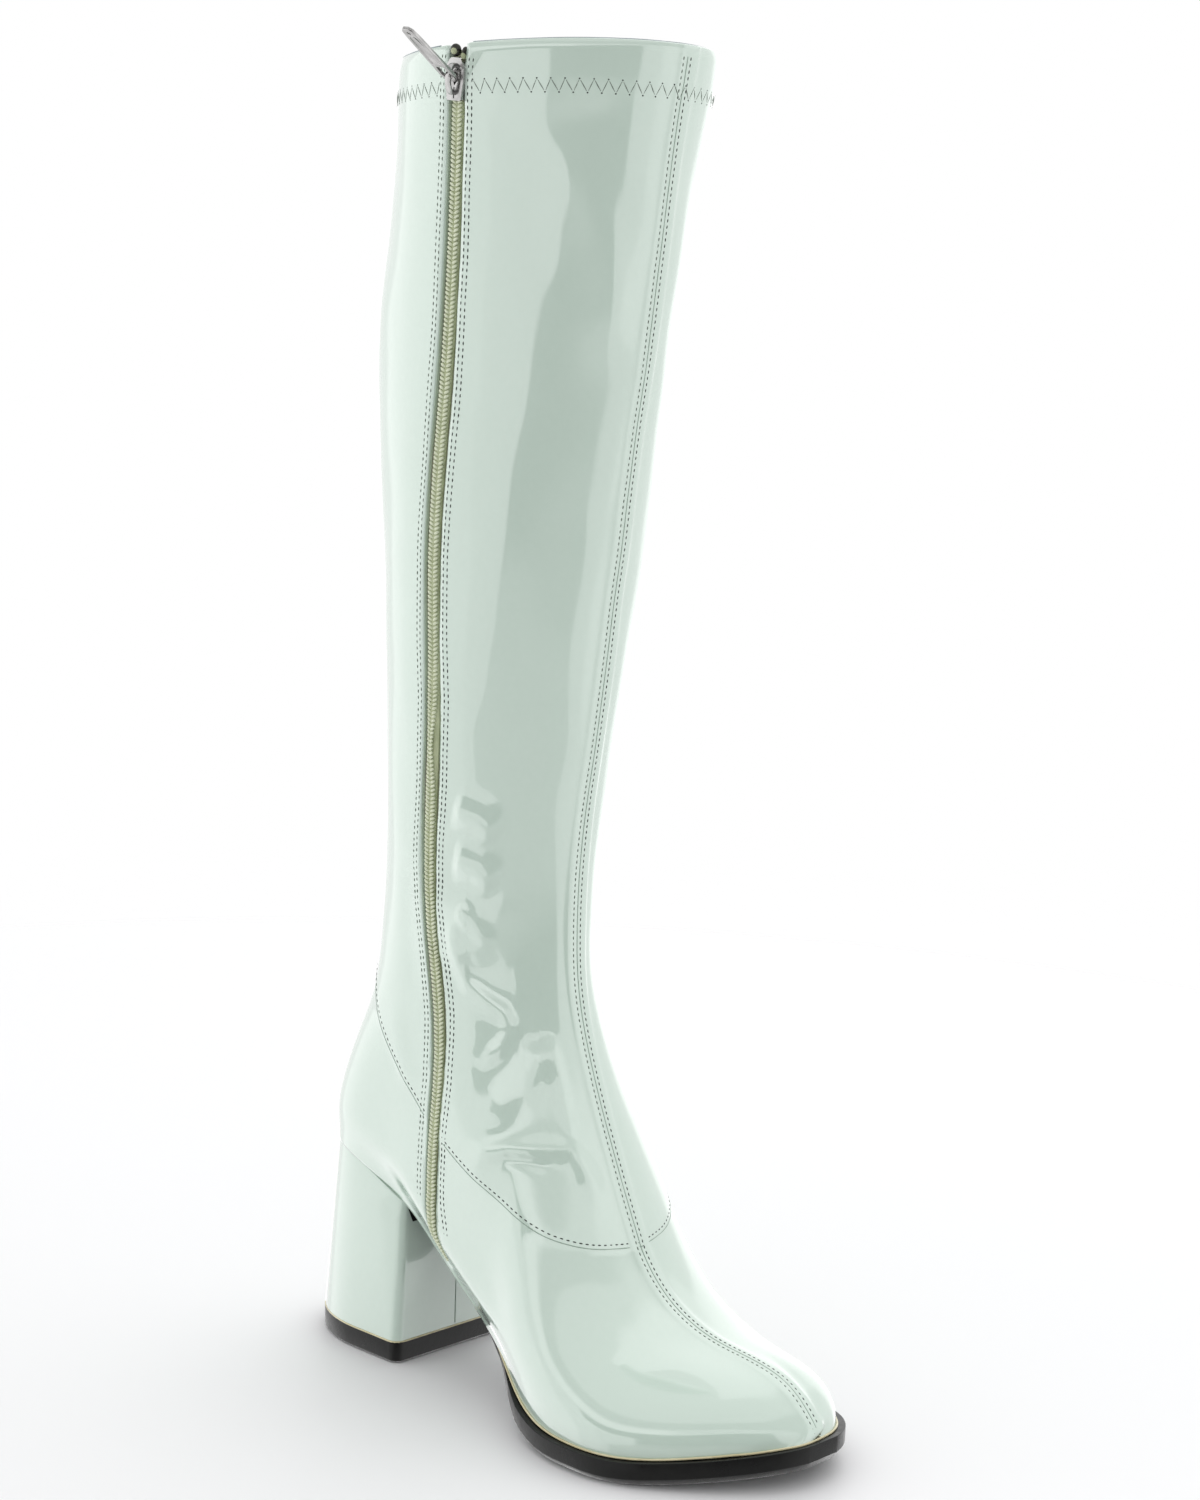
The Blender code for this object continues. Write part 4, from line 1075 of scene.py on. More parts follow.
@dataclass
class Upper:
    """The patent upper with its lining, from the boot's own solid.

    The leather has two slow waves, a wide and a narrow one, in cycles a metre across and up. They
    fade to a share of their height under the shaft, and to nothing at the collar's top.
    """

    wardrobe: Wardrobe
    node: bpy.types.Object
    levels: int = 2
    wave_height: float = 1.1 * MM
    wide_wave: tuple[float, float] = (26.0, 13.0)
    narrow_wave: tuple[float, float] = (60.0, 34.0)
    narrow_share: float = 0.38
    foot_waves: float = 0.35
    shaft_foot: float = 0.10
    shaft_blend: float = 0.08
    calm_top: float = 0.4735
    calm_blend: float = 0.012
    pucker_height: float = 0.10 * MM
    pucker_pitch: float = 8.2 * MM
    pucker_reach: float = 6.5 * MM
    pucker_foot: float = 0.06
    inner_side: float = -0.012
    deepest: float = -1.3 * MM
    highest: float = 2.3 * MM
    inward_look: float = 0.35
    lining_turn_deg: float = 58.0
    crease_turn_deg: float = 62.0
    crease: float = 0.75
    refine_low: float = 0.085
    refine_high: float = 0.245
    heart: tuple[tuple[float, float, float], ...] = (
        (0.175, 0.007, 0.018), (0.130, 0.004, 0.022), (0.090, 0.002, 0.045), (0.050, 0.000, 0.085),
        (0.037, 0.000, 0.120), (0.040, 0.000, 0.165), (0.045, 0.000, 0.300), (0.060, 0.000, 0.400),
        (0.067, 0.000, 0.480),
    )
    folds: tuple[Fold, ...] = folds_of(FOLD_ROWS)
    outer: bpy.types.Object = field(init=False)
    lining: bpy.types.Object = field(init=False)
    surface: Surface = field(init=False)

    def nearest_heart(self, point: Vector) -> Vector:
        """The nearest place on the line through the middle of the boot."""
        best = None
        for start, end in zip(self.heart[:-1], self.heart[1:]):
            start, end = Vector(start), Vector(end)
            ahead = end - start
            share = max(0.0, min(1.0, (point - start).dot(ahead) / ahead.length_squared))
            here = start + ahead * share
            if best is None or (point - here).length < (point - best).length:
                best = here
        return best

    def mark_lining(self, piece: bpy.types.Object) -> None:
        """Gives the faces of the inner skin the second material place.

        They spread from the face that looks most inwards, over edges that turn gently.
        """
        shape = shape_of(piece.data)
        shape.faces.ensure_lookup_table()

        def outwardness(face: bmesh.types.BMFace) -> float:
            """How far a face looks away from the middle of the boot."""
            middle = face.calc_center_median()
            return face.normal.dot((middle - self.nearest_heart(middle)).normalized())

        for face in shape.faces:
            face.material_index = 0
        start = min(shape.faces, key=outwardness)
        start.material_index = 1
        queue = [start]
        widest = math.radians(self.lining_turn_deg)
        while queue:
            face = queue.pop()
            for edge in face.edges:
                if len(edge.link_faces) != 2 or edge.calc_face_angle(0.0) > widest:
                    continue
                for near in edge.link_faces:
                    fresh = near.material_index == 0 and near != face
                    if fresh and outwardness(near) < self.inward_look:
                        near.material_index = 1
                        queue.append(near)
        floats = shape.edges.layers.float
        layer = floats.get("crease_edge") or floats.new("crease_edge")
        sharp = math.radians(self.crease_turn_deg)
        for edge in shape.edges:
            if len(edge.link_faces) == 2 and edge.calc_face_angle(0.0) > sharp:
                edge[layer] = self.crease
        write_back(shape, piece.data)

    def soften(self, points: np.ndarray, normals: np.ndarray, outwards: float) -> np.ndarray:
        """Moves points by the folds and by the leather's own slow waves.

        Args:
            points: the points.
            normals: their normals.
            outwards: 1 for the outer skin, -1 for the lining.

        Returns:
            The moved points.
        """
        move = sum(fold.field(points) for fold in self.folds)
        move = np.clip(move, self.deepest, self.highest)
        if outwards > 0.0:
            move += self.waves(points)
        return points + normals * (outwards * move)[:, None]

    def waves(self, points: np.ndarray) -> np.ndarray:
        """The leather's slow waves, with small puckers beside the zip.

        Args:
            points: the points.

        Returns:
            How far each one moves outwards.
        """
        heights = points[:, 2]
        on_shaft = np.clip((heights - self.shaft_foot) / self.shaft_blend, 0.0, 1.0)
        slow = np.zeros(len(points))
        (wide, wide_up), (narrow, narrow_up) = self.wide_wave, self.narrow_wave
        for i, (x, y, z) in enumerate(points):
            first = noise.noise(Vector((x * wide, y * wide, z * wide_up + 3.7)))
            second = noise.noise(Vector((x * narrow + 9.0, y * narrow, z * narrow_up)))
            slow[i] = self.wave_height * (first + self.narrow_share * second)
        slow *= self.foot_waves + (1.0 - self.foot_waves) * on_shaft
        along, up = zip(*ZIP_LINE)
        beside = np.abs(points[:, 0] - np.interp(heights, up, along))
        inner = (points[:, 1] < self.inner_side) & (heights > self.pucker_foot)
        walked = heights + 0.0015 * np.sin(heights * 310.0)
        ripple = np.sin(walked * math.tau / self.pucker_pitch)
        pucker = self.pucker_height * ripple * np.exp(-beside / self.pucker_reach)
        calm = np.clip((self.calm_top - heights) / self.calm_blend, 0.0, 1.0)
        return slow * calm + np.where(inner, pucker, 0.0)

    def build(self) -> None:
        """Makes the outer skin and the lining."""
        whole = copy_of_node(self.node, "upper-patent")
        whole.data.materials.append(self.wardrobe.material(PATENT))
        whole.data.materials.append(self.wardrobe.material(LINING))
        self.mark_lining(whole)
        subdivide(whole, self.levels)
        take(whole)
        bpy.ops.object.mode_set(mode="EDIT")
        bpy.ops.mesh.select_all(action="DESELECT")
        bpy.ops.object.mode_set(mode="OBJECT")
        for face in whole.data.polygons:
            face.select = face.material_index == 1
        bpy.ops.object.mode_set(mode="EDIT")
        bpy.ops.mesh.separate(type="SELECTED")
        bpy.ops.object.mode_set(mode="OBJECT")
        self.lining = next(o for o in bpy.context.selected_objects if o != whole)
        self.lining.name = "shaft-lining"
        self.outer = whole
        refine_rows(self.outer, self.refine_low, self.refine_high, 2)
        for piece, outwards in ((self.outer, 1.0), (self.lining, -1.0)):
            points = positions(piece.data)
            place_points(piece.data, self.soften(points, point_normals(piece.data), outwards))
            piece.data.shade_smooth()
        self.surface = Surface(self.outer)
        self.wardrobe.hand_in(self.outer, PATENT, Slot.PATENT)
        self.wardrobe.hand_in(self.lining, LINING, Slot.LINING)
        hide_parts("upper")


# Shared shapes


def plate(
    name: str,
    outline: list[tuple[float, float]],
    low: float,
    high: float,
    place: Matrix,
    bevel: float = 0.0,
    segments: int = 2,
) -> bpy.types.Object:
    """A flat plate drawn out from an outline, with softened edges.

    Args:
        name: the plate's name.
        outline: its corners in the place's first two directions, in millimetres.
        low: where it starts along the third direction.
        high: where it ends.
        place: its turn and place.
        bevel: the width of the softened edges.
        segments: how many steps the softening has.

    Returns:
        The plate, settled at the origin.
    """
    bpy.ops.object.select_all(action="DESELECT")
    bpy.ops.mesh.primitive_circle_add(vertices=len(outline), radius=1.0, fill_type="NGON")
    piece = bpy.context.active_object
    piece.name = name
    for vertex, (first, second) in zip(piece.data.vertices, outline):
        vertex.co = (first * MM, second * MM, low)
    bpy.ops.object.mode_set(mode="EDIT")
    bpy.ops.mesh.select_all(action="SELECT")
    bpy.ops.mesh.extrude_region_move(TRANSFORM_OT_translate={"value": (0.0, 0.0, high - low)})
    bpy.ops.object.mode_set(mode="OBJECT")
    face_outwards(piece)
    if bevel > 0.0:
        soften_edges(piece, bevel, segments)
    piece.matrix_world = place
    settle(piece)
    return piece


def soften_edges(
    piece: bpy.types.Object, width: float, segments: int = 2, over_deg: float = 32.0
) -> None:
    """Bevels the edges of a piece that turn by more than an angle."""
    modifier = piece.modifiers.new("edges", "BEVEL")
    modifier.width = width
    modifier.segments = segments
    modifier.limit_method = "ANGLE"
    modifier.angle_limit = math.radians(over_deg)
    modifier.use_clamp_overlap = True
    finish_modifiers(piece)


def cut(piece: bpy.types.Object, tool: bpy.types.Object) -> None:
    """Takes a tool's shape out of a piece and removes the tool."""
    modifier = piece.modifiers.new("cut", "BOOLEAN")
    modifier.operation = "DIFFERENCE"
    modifier.solver = "EXACT"
    modifier.object = tool
    finish_modifiers(piece)
    bpy.data.objects.remove(tool, do_unlink=True)


def joined(name: str, pieces: list[bpy.types.Object]) -> bpy.types.Object:
    """Joins pieces into the first one."""
    bpy.ops.object.select_all(action="DESELECT")
    for piece in pieces:
        piece.select_set(True)
    bpy.context.view_layer.objects.active = pieces[0]
    bpy.ops.object.join()
    pieces[0].name = name
    return pieces[0]


def upper_rim(piece: bpy.types.Object) -> list[Spot]:
    """The edge between a solid's top and its sides, in order.

    Args:
        piece: the solid.

    Returns:
        The longest run of that edge, each spot with the side's normal.
    """
    shape = shape_of(piece.data)
    links: dict[int, list[int]] = {}
    spots: dict[int, Spot] = {}
    for edge in shape.edges:
        tops = [face for face in edge.link_faces if face.normal.z > 0.6]
        sides = [face for face in edge.link_faces if abs(face.normal.z) < 0.6]
        if len(tops) != 1 or len(sides) != 1:
            continue
        one, two = edge.verts
        for here, there in ((one, two), (two, one)):
            links.setdefault(here.index, []).append(there.index)
            spots[here.index] = Spot(here.co.copy(), sides[0].normal.copy())
    shape.free()
    runs = []
    left = set(links)
    while left:
        ends = [index for index in left if len(links[index]) == 1] or [next(iter(sorted(left)))]
        run = [ends[0]]
        left.discard(ends[0])
        while True:
            ahead = [index for index in links[run[-1]] if index in left]
            if not ahead:
                break
            run.append(ahead[0])
            left.discard(ahead[0])
        runs.append(run)
    return [spots[index] for index in max(runs, key=len)]


# Stitching


@dataclass(frozen=True)
class Thread:
    """The size of one stitch as it lies on the leather."""

    length: float
    width: float
    height: float
    pitch: float


RUN_STITCH = Thread(1.55 * MM, 0.56 * MM, 0.40 * MM, 2.2 * MM)
FINE_STITCH = Thread(1.5 * MM, 0.52 * MM, 0.38 * MM, 2.1 * MM)
SEAM_STITCH = Thread(1.7 * MM, 0.55 * MM, 0.36 * MM, 2.4 * MM)
HEM_STITCH = Thread(5.0 * MM, 0.34 * MM, 0.30 * MM, 4.7 * MM)
HEM_RETURN = Thread(5.0 * MM, 0.28 * MM, 0.24 * MM, 4.7 * MM)
COIL_TOOTH = Thread(2.7 * MM, 1.15 * MM, 1.1 * MM, 1.5 * MM)
NEEDLE_DOT = Thread(0.75 * MM, 0.60 * MM, 0.24 * MM, 4.7 * MM)


def stitch_mesh(thread: Thread) -> bpy.types.Mesh:
    """One stitch, a small swell of thread along X with its ends dipped."""
    bpy.ops.object.select_all(action="DESELECT")
    bpy.ops.mesh.primitive_uv_sphere_add(
        segments=8, ring_count=4, radius=0.5, rotation=(0.0, 0.5 * math.pi, 0.0)
    )
    seed = bpy.context.active_object
    settle(seed)
    seed.scale = (thread.length, thread.width, thread.height)
    settle(seed)
    mesh = seed.data.copy()
    bpy.data.objects.remove(seed, do_unlink=True)
    for vertex in mesh.vertices:
        share = abs(vertex.co.x) / (0.5 * thread.length)
        vertex.co.z -= 0.35 * thread.height * share * share
    return mesh


@dataclass
class Stitching:
    """The rows of thread on the upper, its seam lines and cut edges as fine lines of painted shade, and
    the collar's painted edge.
    """

    wardrobe: Wardrobe
    surface: Surface
    seam_front: tuple[tuple[float, float, float], ...] = (
        (0.1090, 0.0014, 0.4700), (0.1062, 0.0012, 0.4050), (0.1030, 0.0010, 0.3500),
        (0.1008, 0.0009, 0.2970), (0.0977, 0.0008, 0.2765), (0.0953, 0.0007, 0.2555),
        (0.0919, 0.0005, 0.2310), (0.0887, 0.0004, 0.2110), (0.0866, 0.0003, 0.1890),
        (0.0870, 0.0003, 0.1690), (0.0877, 0.0003, 0.1520), (0.0916, 0.0005, 0.1380),
        (0.0974, 0.0008, 0.1200), (0.1048, 0.0011, 0.1016), (0.1134, 0.0016, 0.0799),
        (0.1215, 0.0021, 0.0619), (0.1298, 0.0026, 0.0513), (0.1404, 0.0033, 0.0431),
        (0.1540, 0.0042, 0.0374), (0.1650, 0.0050, 0.0358), (0.1789, 0.0060, 0.0341),
        (0.1877, 0.0067, 0.0302), (0.1942, 0.0072, 0.0249), (0.1986, 0.0076, 0.0190),
        (0.1996, 0.0077, 0.0150),
    )
    step_line: tuple[tuple[float, float], ...] = (
        (-0.0040, 0.1500), (0.0030, 0.1412), (0.0109, 0.1324), (0.0187, 0.1243), (0.0266, 0.1167),
        (0.0345, 0.1092), (0.0424, 0.1025), (0.0503, 0.0965), (0.0581, 0.0913), (0.0660, 0.0868),
        (0.0739, 0.0830), (0.0818, 0.0798), (0.0896, 0.0768), (0.0975, 0.0736), (0.1054, 0.0704),
        (0.1133, 0.0669), (0.1205, 0.0632),
    )
    back_seam: tuple[tuple[float, float, float], ...] = (
        (0.0082, 0.0, 0.4690), (0.0020, 0.0, 0.4000), (-0.0040, 0.0, 0.3400),
        (-0.0060, 0.0, 0.2800), (-0.0040, 0.0, 0.2200), (-0.0045, 0.0, 0.1800),
        (-0.0050, 0.0, 0.1520),
    )
    vamp_peak: tuple[float, float, float] = (0.1226, 0.0025, 0.0625)
    hem_height: float = 0.4583
    hem_centre: float = 0.067
    edge_above_hem: float = 0.0140
    seam_radius: float = 0.22 * MM
    seam_sink: float = 0.10 * MM
    front_rows: tuple[float, float] = (1.55 * MM, -1.65 * MM)
    back_rows: tuple[float, float] = (1.6 * MM, -1.6 * MM)
    vamp_row: float = 1.5 * MM
    vamp_edge: float = 0.1 * MM
    zip_rows_low: float = 0.052
    zip_rows_high: float = 0.4665
    # Further out than any part of the boot, for rays that are cast inwards.
    outside: float = 0.2
    # A hit nearer to the collar's middle than this is on the far skin.
    nearest_skin: float = 0.03
    hem_start_deg: float = -80.0
    hem_end_deg: float = 261.0
    hem_lean: float = 2.7 * MM
    hem_drop: float = 4.4 * MM
    slot_half: float = 4.2 * MM
    slot_clear: float = 5.0 * MM

    def hand_in(self, piece: bpy.types.Object, finish: Finish) -> None:
        """Hands a finished piece in, to be dressed and ridden on the boot."""
        self.wardrobe.hand_in(piece, finish, Slot.PATENT)

    def row(self, name: str, line: list[Spot], thread: Thread, finish: Finish) -> None:
        """Lays stitches end to end along a line.

        Args:
            name: the row's name.
            line: the spots it follows.
            thread: the stitch.
            finish: the thread's finish.
        """
        spots = resampled(line, thread.pitch)
        frames = []
        for here, there in zip(spots[:-1], spots[1:]):
            normal = (here.normal + there.normal).normalized()
            middle = Spot((here.place + there.place) / 2, normal)
            frames.append(frame_at(middle, there.place - here.place))
        self.hand_in(joined_copies(name, stitch_mesh(thread), frames), finish)

    def line(self, name: str, line: list[Spot], radius: float, sink: float, finish: Finish) -> None:
        """Lays a fine cord along a line: a seam or cut edge in painted shade, or the collar's painted
        edge.
        """
        self.hand_in(tube_along(name, resampled(line, 1.6 * MM), radius, 6, False, sink), finish)

    def side_line(self, points: list[tuple[float, float]], side: float) -> list[Spot]:
        """Casts a side-view line onto one side of the boot.

        Args:
            points: the line's places along the foot and its heights.
            side: -1 for the inner side, 1 for the outer.

        Returns:
            The spots that it meets.
        """
        spots = []
        for x, z in points:
            start = Vector((x, side * self.outside, z))
            hit = self.surface.cast(start, Vector((0.0, -side, 0.0)))
            if hit is not None:
                spots.append(hit)
        return spots

    def laid(self, points: tuple, pitch: float, rounds: int) -> list[Spot]:
        """A smooth line over the upper through the places nearest to some points.

        Args:
            points: the points in order.
            pitch: the distance between the line's spots.
            rounds: how often the line is evened out.

        Returns:
            The line's spots, all on the surface.
        """
        line = smoothed(resampled([self.surface.near(Vector(p)) for p in points], pitch), rounds)
        return [self.surface.near(spot.place) for spot in line]

    def front(self) -> None:
        """The front seam: its line, in painted shade, and the two rows beside it."""
        line = self.laid(self.seam_front, 3.0 * MM, 6)
        self.line("front-seam-shade", line, self.seam_radius, self.seam_sink, SEAM_SHADE)
        left, right = (shifted(line, away, self.surface) for away in self.front_rows)
        self.row("front-row-inner", left, FINE_STITCH, THREAD_DARK)
        self.row("front-row-outer", right, FINE_STITCH, THREAD_PALE)

    def vamp(self) -> None:
        """The vamp and counter seam: one row above the step on each side."""
        across, up = zip(*self.step_line)
        at = np.linspace(across[0], across[-1], 90)
        points = [(float(x), float(np.interp(x, across, up))) for x in at]
        for side, name in ((-1.0, "inner"), (1.0, "outer")):
            line = self.side_line(points, side) + [self.surface.near(Vector(self.vamp_peak))]
            runs = [("whole", line)]
            if side < 0.0:
                past = [(spot, spot.place.x - self.zip_x(spot.place.z)) for spot in line]
                back = [spot for spot, away in past if away < -self.slot_clear]
                front = [spot for spot, away in past if away > self.slot_clear]
                runs = [("back", back), ("front", front)]
            for label, run in runs:
                run = smoothed(run, 2)
                row = shifted(run, -side * self.vamp_row, self.surface)
                edge = shifted(run, -side * self.vamp_edge, self.surface)
                self.row(f"vamp-row-{name}-{label}", row, SEAM_STITCH, THREAD_DARK)
                # The vamp's cut edge, a fine line of painted shade.
                self.line(f"vamp-edge-shade-{name}-{label}", edge, 0.20 * MM, 0.06 * MM, SEAM_SHADE)

    def zip_x(self, height: float) -> float:
        """Where the zip's middle is along the foot at a height."""
        along, heights = zip(*ZIP_LINE)
        return float(np.interp(height, heights, along))

    def zip_rows(self) -> None:
        """The two rows in front of the slot and the two behind it."""
        heights = np.linspace(self.zip_rows_low, self.zip_rows_high, 170)
        line = np.array([(self.zip_x(z), z) for z in heights])
        ways = np.gradient(line, axis=0)
        ways /= np.linalg.norm(ways, axis=1)[:, None]
        sides = np.stack([ways[:, 1], -ways[:, 0]], axis=1)
        rows = (
            ("zip-row-near", self.slot_half + 1.4 * MM, THREAD_DARK),
            ("zip-row-far", self.slot_half + 3.1 * MM, THREAD_DARK),
            ("zip-row-back", -self.slot_half - 1.5 * MM, THREAD_PALE),
            ("zip-row-back-far", -self.slot_half - 3.2 * MM, THREAD_PALE),
        )
        for name, away, finish in rows:
            spots = self.side_line([tuple(p) for p in line + sides * away], -1.0)
            self.row(name, smoothed(spots, 3), RUN_STITCH, finish)

    def hem(self) -> None:
        """The zigzag of the collar's turned hem, and the painted edge above it."""
        middle = Vector((self.hem_centre, 0.0, self.hem_height))
        line = []
        for degrees in np.linspace(self.hem_start_deg, self.hem_end_deg, 260):
            turn = math.radians(degrees)
            way = Vector((math.cos(turn), math.sin(turn), 0.0))
            hit = self.surface.cast(middle + way * self.outside, -way)
            if hit is not None and (hit.place - middle).length > self.nearest_skin:
                line.append(hit)
        rise = Vector((0.0, 0.0, self.edge_above_hem))
        edge = [self.surface.near(spot.place + rise) for spot in line]
        self.line("collar-edge", smoothed(edge, 3), 0.42 * MM, 0.12 * MM, EDGE_PAINT)
        high = resampled(smoothed(line, 3), HEM_STITCH.pitch)
        strokes, returns, dots = [], [], []
        for here, there in zip(high[:-1], high[1:]):
            ahead = (there.place - here.place).normalized()
            down = ahead.cross(here.normal).normalized()
            down = down if down.z < 0.0 else -down
            low = self.surface.near(here.place + down * self.hem_drop + ahead * self.hem_lean)
            middle = self.surface.near((here.place + low.place) / 2)
            strokes.append(frame_at(middle, low.place - here.place))
            middle = self.surface.near((there.place + low.place) / 2)
            returns.append(frame_at(middle, there.place - low.place))
            dots += [frame_at(here, ahead), frame_at(low, ahead)]
        for name, thread, frames, finish in (
            ("hem-strokes", HEM_STITCH, strokes, THREAD_PALE),
            ("hem-returns", HEM_RETURN, returns, THREAD_PALE),
            ("hem-dots", NEEDLE_DOT, dots, THREAD_DARK),
        ):
            self.hand_in(joined_copies(name, stitch_mesh(thread), frames), finish)

    def back(self) -> None:
        """The back seam, a plain line of painted shade with a fine row on each side."""
        line = self.laid(self.back_seam, 5.0 * MM, 3)
        self.line("back-seam-shade", line, self.seam_radius, self.seam_sink, SEAM_SHADE)
        for name, away in zip(("back-row-inner", "back-row-outer"), self.back_rows):
            self.row(name, shifted(line, away, self.surface), FINE_STITCH, THREAD_PALE)

    def build(self) -> None:
        """Lays every row."""
        self.front()
        self.vamp()
        self.zip_rows()
        self.hem()
        self.back()


# Zip


ZIP_LINE = (
    (0.05335, 0.0430), (0.05475, 0.0550), (0.05125, 0.0700), (0.05145, 0.0910), (0.05205, 0.1110),
    (0.04975, 0.1360), (0.04615, 0.1510), (0.04255, 0.1770), (0.04415, 0.1960), (0.04805, 0.2210),
    (0.05165, 0.2500), (0.05245, 0.2780), (0.05345, 0.3020), (0.05585, 0.3270), (0.05825, 0.3540),
    (0.06045, 0.3870), (0.06305, 0.4200), (0.06685, 0.4530), (0.06930, 0.4700),
)


def mirrored(half: list[tuple[float, float]]) -> list[tuple[float, float]]:
    """A whole outline from its right half, whose first corner comes first on both sides."""
    first, second = half[0]
    return [(-first, second)] + half + [(-a, b) for a, b in reversed(half[1:])]


def arch(reach: float, rise: float, start: float, end: float) -> list[tuple[float, float]]:
    """Corners along a flattened half ring over the slider's plate.

    Args:
        reach: half its length, in millimetres.
        rise: its height, in millimetres.
        start: the angle of its first corner.
        end: the angle of its last one.

    Returns:
        The corners.
    """
    low, squareness = 1.5, 0.6
    turns = np.linspace(start, end, 13)
    return [(reach * math.cos(t), low + rise * math.sin(t) ** squareness) for t in turns]


# Right halves of the metal parts' outlines, in millimetres across and up.
SHIELD = mirrored([
    (1.6, 6.9), (2.6, 6.4), (4.1, 4.2), (4.2, 2.0), (4.1, -0.5), (3.4, -5.2), (3.3, -6.5), (2.9, -6.9),
])
GROOVE = mirrored([(0.25, -6.2), (0.25, -2.6)])
TAB = mirrored([
    (1.4, -0.75), (2.6, 0.2), (3.4, 2.2), (3.2, 8.0), (2.75, 22.5), (2.3, 25.6), (1.2, 26.9),
])
EYE = mirrored([(0.9, 0.6), (1.9, 1.6), (2.2, 2.8), (1.6, 6.9)])
PANEL = mirrored([(1.9, 8.6), (1.55, 21.8), (0.9, 22.8)])
# The opening beside the bridge, which isn't symmetric; a dark plate in its floor is painted shade.
OPENING = [(-1.5, 1.6), (0.0, -2.1), (1.5, -0.4), (1.5, 1.9), (0.0, 2.4)]
RING = arch(5.2, 3.8, 0.0, math.pi) + arch(3.7, 2.7, math.pi, 0.0)


@dataclass
class Zip:
    """The tape, the coil, the slider, its pull and the stops."""

    wardrobe: Wardrobe
    nodes: dict[str, bpy.types.Object]
    across: Vector = field(default_factory=lambda: Vector((0.99209, 0.03793, -0.11964)))
    outward: Vector = field(default_factory=lambda: Vector((0.0289, -0.9966, -0.0767)))
    up: Vector = field(default_factory=lambda: Vector((0.1221, -0.0726, 0.9899)))
    hinge: Vector = field(default_factory=lambda: Vector((0.06793, -0.04941, 0.4586)))
    hinge_out: float = 2.95 * MM
    lift_deg: float = 35.0
    coil_pitch: float = 1.5 * MM
    bed_sink: float = 0.35 * MM
    tooth_slant: float = 0.55
    tooth_side: float = 1.25 * MM
    tooth_sink: float = 0.1 * MM
    coil_low: float = 0.047
    coil_high: float = 0.4518

    def strip_line(self, piece: bpy.types.Object, ring: int) -> list[Spot]:
        """The middle line of a strip on its outer face.

        Args:
            piece: the strip.
            ring: how many points each of its rings has.

        Returns:
            The spots from low to high.
        """
        points = positions(piece.data)
        points = points[np.argsort(points @ np.array(self.up))]
        groups = [points[i : i + ring].mean(axis=0) for i in range(0, len(points) - ring + 1, ring)]
        surface = Surface(piece)
        spots = []
        for middle in groups:
            hit = surface.cast(Vector((middle[0], -0.2, middle[2])), Vector((0.0, 1.0, 0.0)))
            if hit is not None:
                spots.append(hit)
        for order, height in ((1, self.coil_low), (-1, self.coil_high)):
            here, there = (spots[0], spots[1]) if order == 1 else (spots[-1], spots[-2])
            way = (here.place - there.place).normalized()
            reach = (height - here.place.z) / way.z
            if reach > 0.0:
                ending = Spot(here.place + way * reach, here.normal)
                spots = [ending] + spots if order == 1 else spots + [ending]
        return spots

    def tape(self) -> None:
        """The woven tape behind the slot."""
        piece = copy_of_node(self.nodes["zip-tape"], "woven-tape")
        lay_uv(piece, Vector((0.0, 0.0, 1.0)), self.across)
        smooth_by_angle(piece, 40.0)
        self.wardrobe.hand_in(piece, TAPE, Slot.TAPE)
        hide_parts("zip-tape")

    def coil(self) -> None:
        """The coil: two columns of slanted teeth on an olive bed."""
        bed = copy_of_node(self.nodes["zip-chain"], "coil-bed")
        line = smoothed(resampled(self.strip_line(bed, 8), self.coil_pitch), 4)
        points = positions(bed.data)
        place_points(bed.data, points - point_normals(bed.data) * self.bed_sink)
        smooth_by_angle(bed, 40.0)
        self.wardrobe.hand_in(bed, COIL_BED, Slot.TAPE)
        frames = []
        for i, spot in enumerate(line):
            ahead = (line[min(i + 1, len(line) - 1)].place - line[max(i - 1, 0)].place).normalized()
            side = ahead.cross(spot.normal).normalized()
            for turn in (-1.0, 1.0):
                place = spot.place + side * turn * self.tooth_side - spot.normal * self.tooth_sink
                frames.append(frame_at(Spot(place, spot.normal), side * turn + ahead * self.tooth_slant))
        teeth = joined_copies("coil-teeth", stitch_mesh(COIL_TOOTH), frames)
        self.wardrobe.hand_in(teeth, COIL, Slot.TAPE)
        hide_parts("zip-chain")

    def slider(self) -> None:
        """The slider: a shouldered plate, its bridge, and painted shade in the opening under the bridge
        and in the groove.
        """
        origin = self.hinge - self.outward * self.hinge_out
        flat = turned_to(self.across, self.up, self.outward, origin)
        side = turned_to(self.up, self.outward, self.across, origin)
        body = plate("slider", SHIELD, -0.9 * MM, 1.8 * MM, flat)
        cut(body, plate("tool", GROOVE, 1.2 * MM, 3.0 * MM, flat))
        cut(body, plate("tool", OPENING, 0.6 * MM, 3.0 * MM, flat))
        soften_edges(body, 0.32 * MM)
        bridge = plate("bridge", RING, -1.05 * MM, 1.05 * MM, side, 0.28 * MM)
        piece = joined("slider-body", [body, bridge])
        smooth_by_angle(piece, 35.0)
        self.wardrobe.hand_in(piece, STEEL, Slot.METAL)
        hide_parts("zip-slider")
        # Painted shade: dark plates in the floors of the opening and the groove.
        shrunk = [(a * 0.93, c * 0.93) for a, c in OPENING]
        dark = plate("slider-painted-shade", shrunk, 0.55 * MM, 0.75 * MM, flat)
        line = plate("line", GROOVE, 1.1 * MM, 1.3 * MM, flat)
        self.wardrobe.hand_in(joined("slider-painted-shade", [dark, line]), DARK_METAL_AND_PAINTED_SHADE, Slot.METAL)

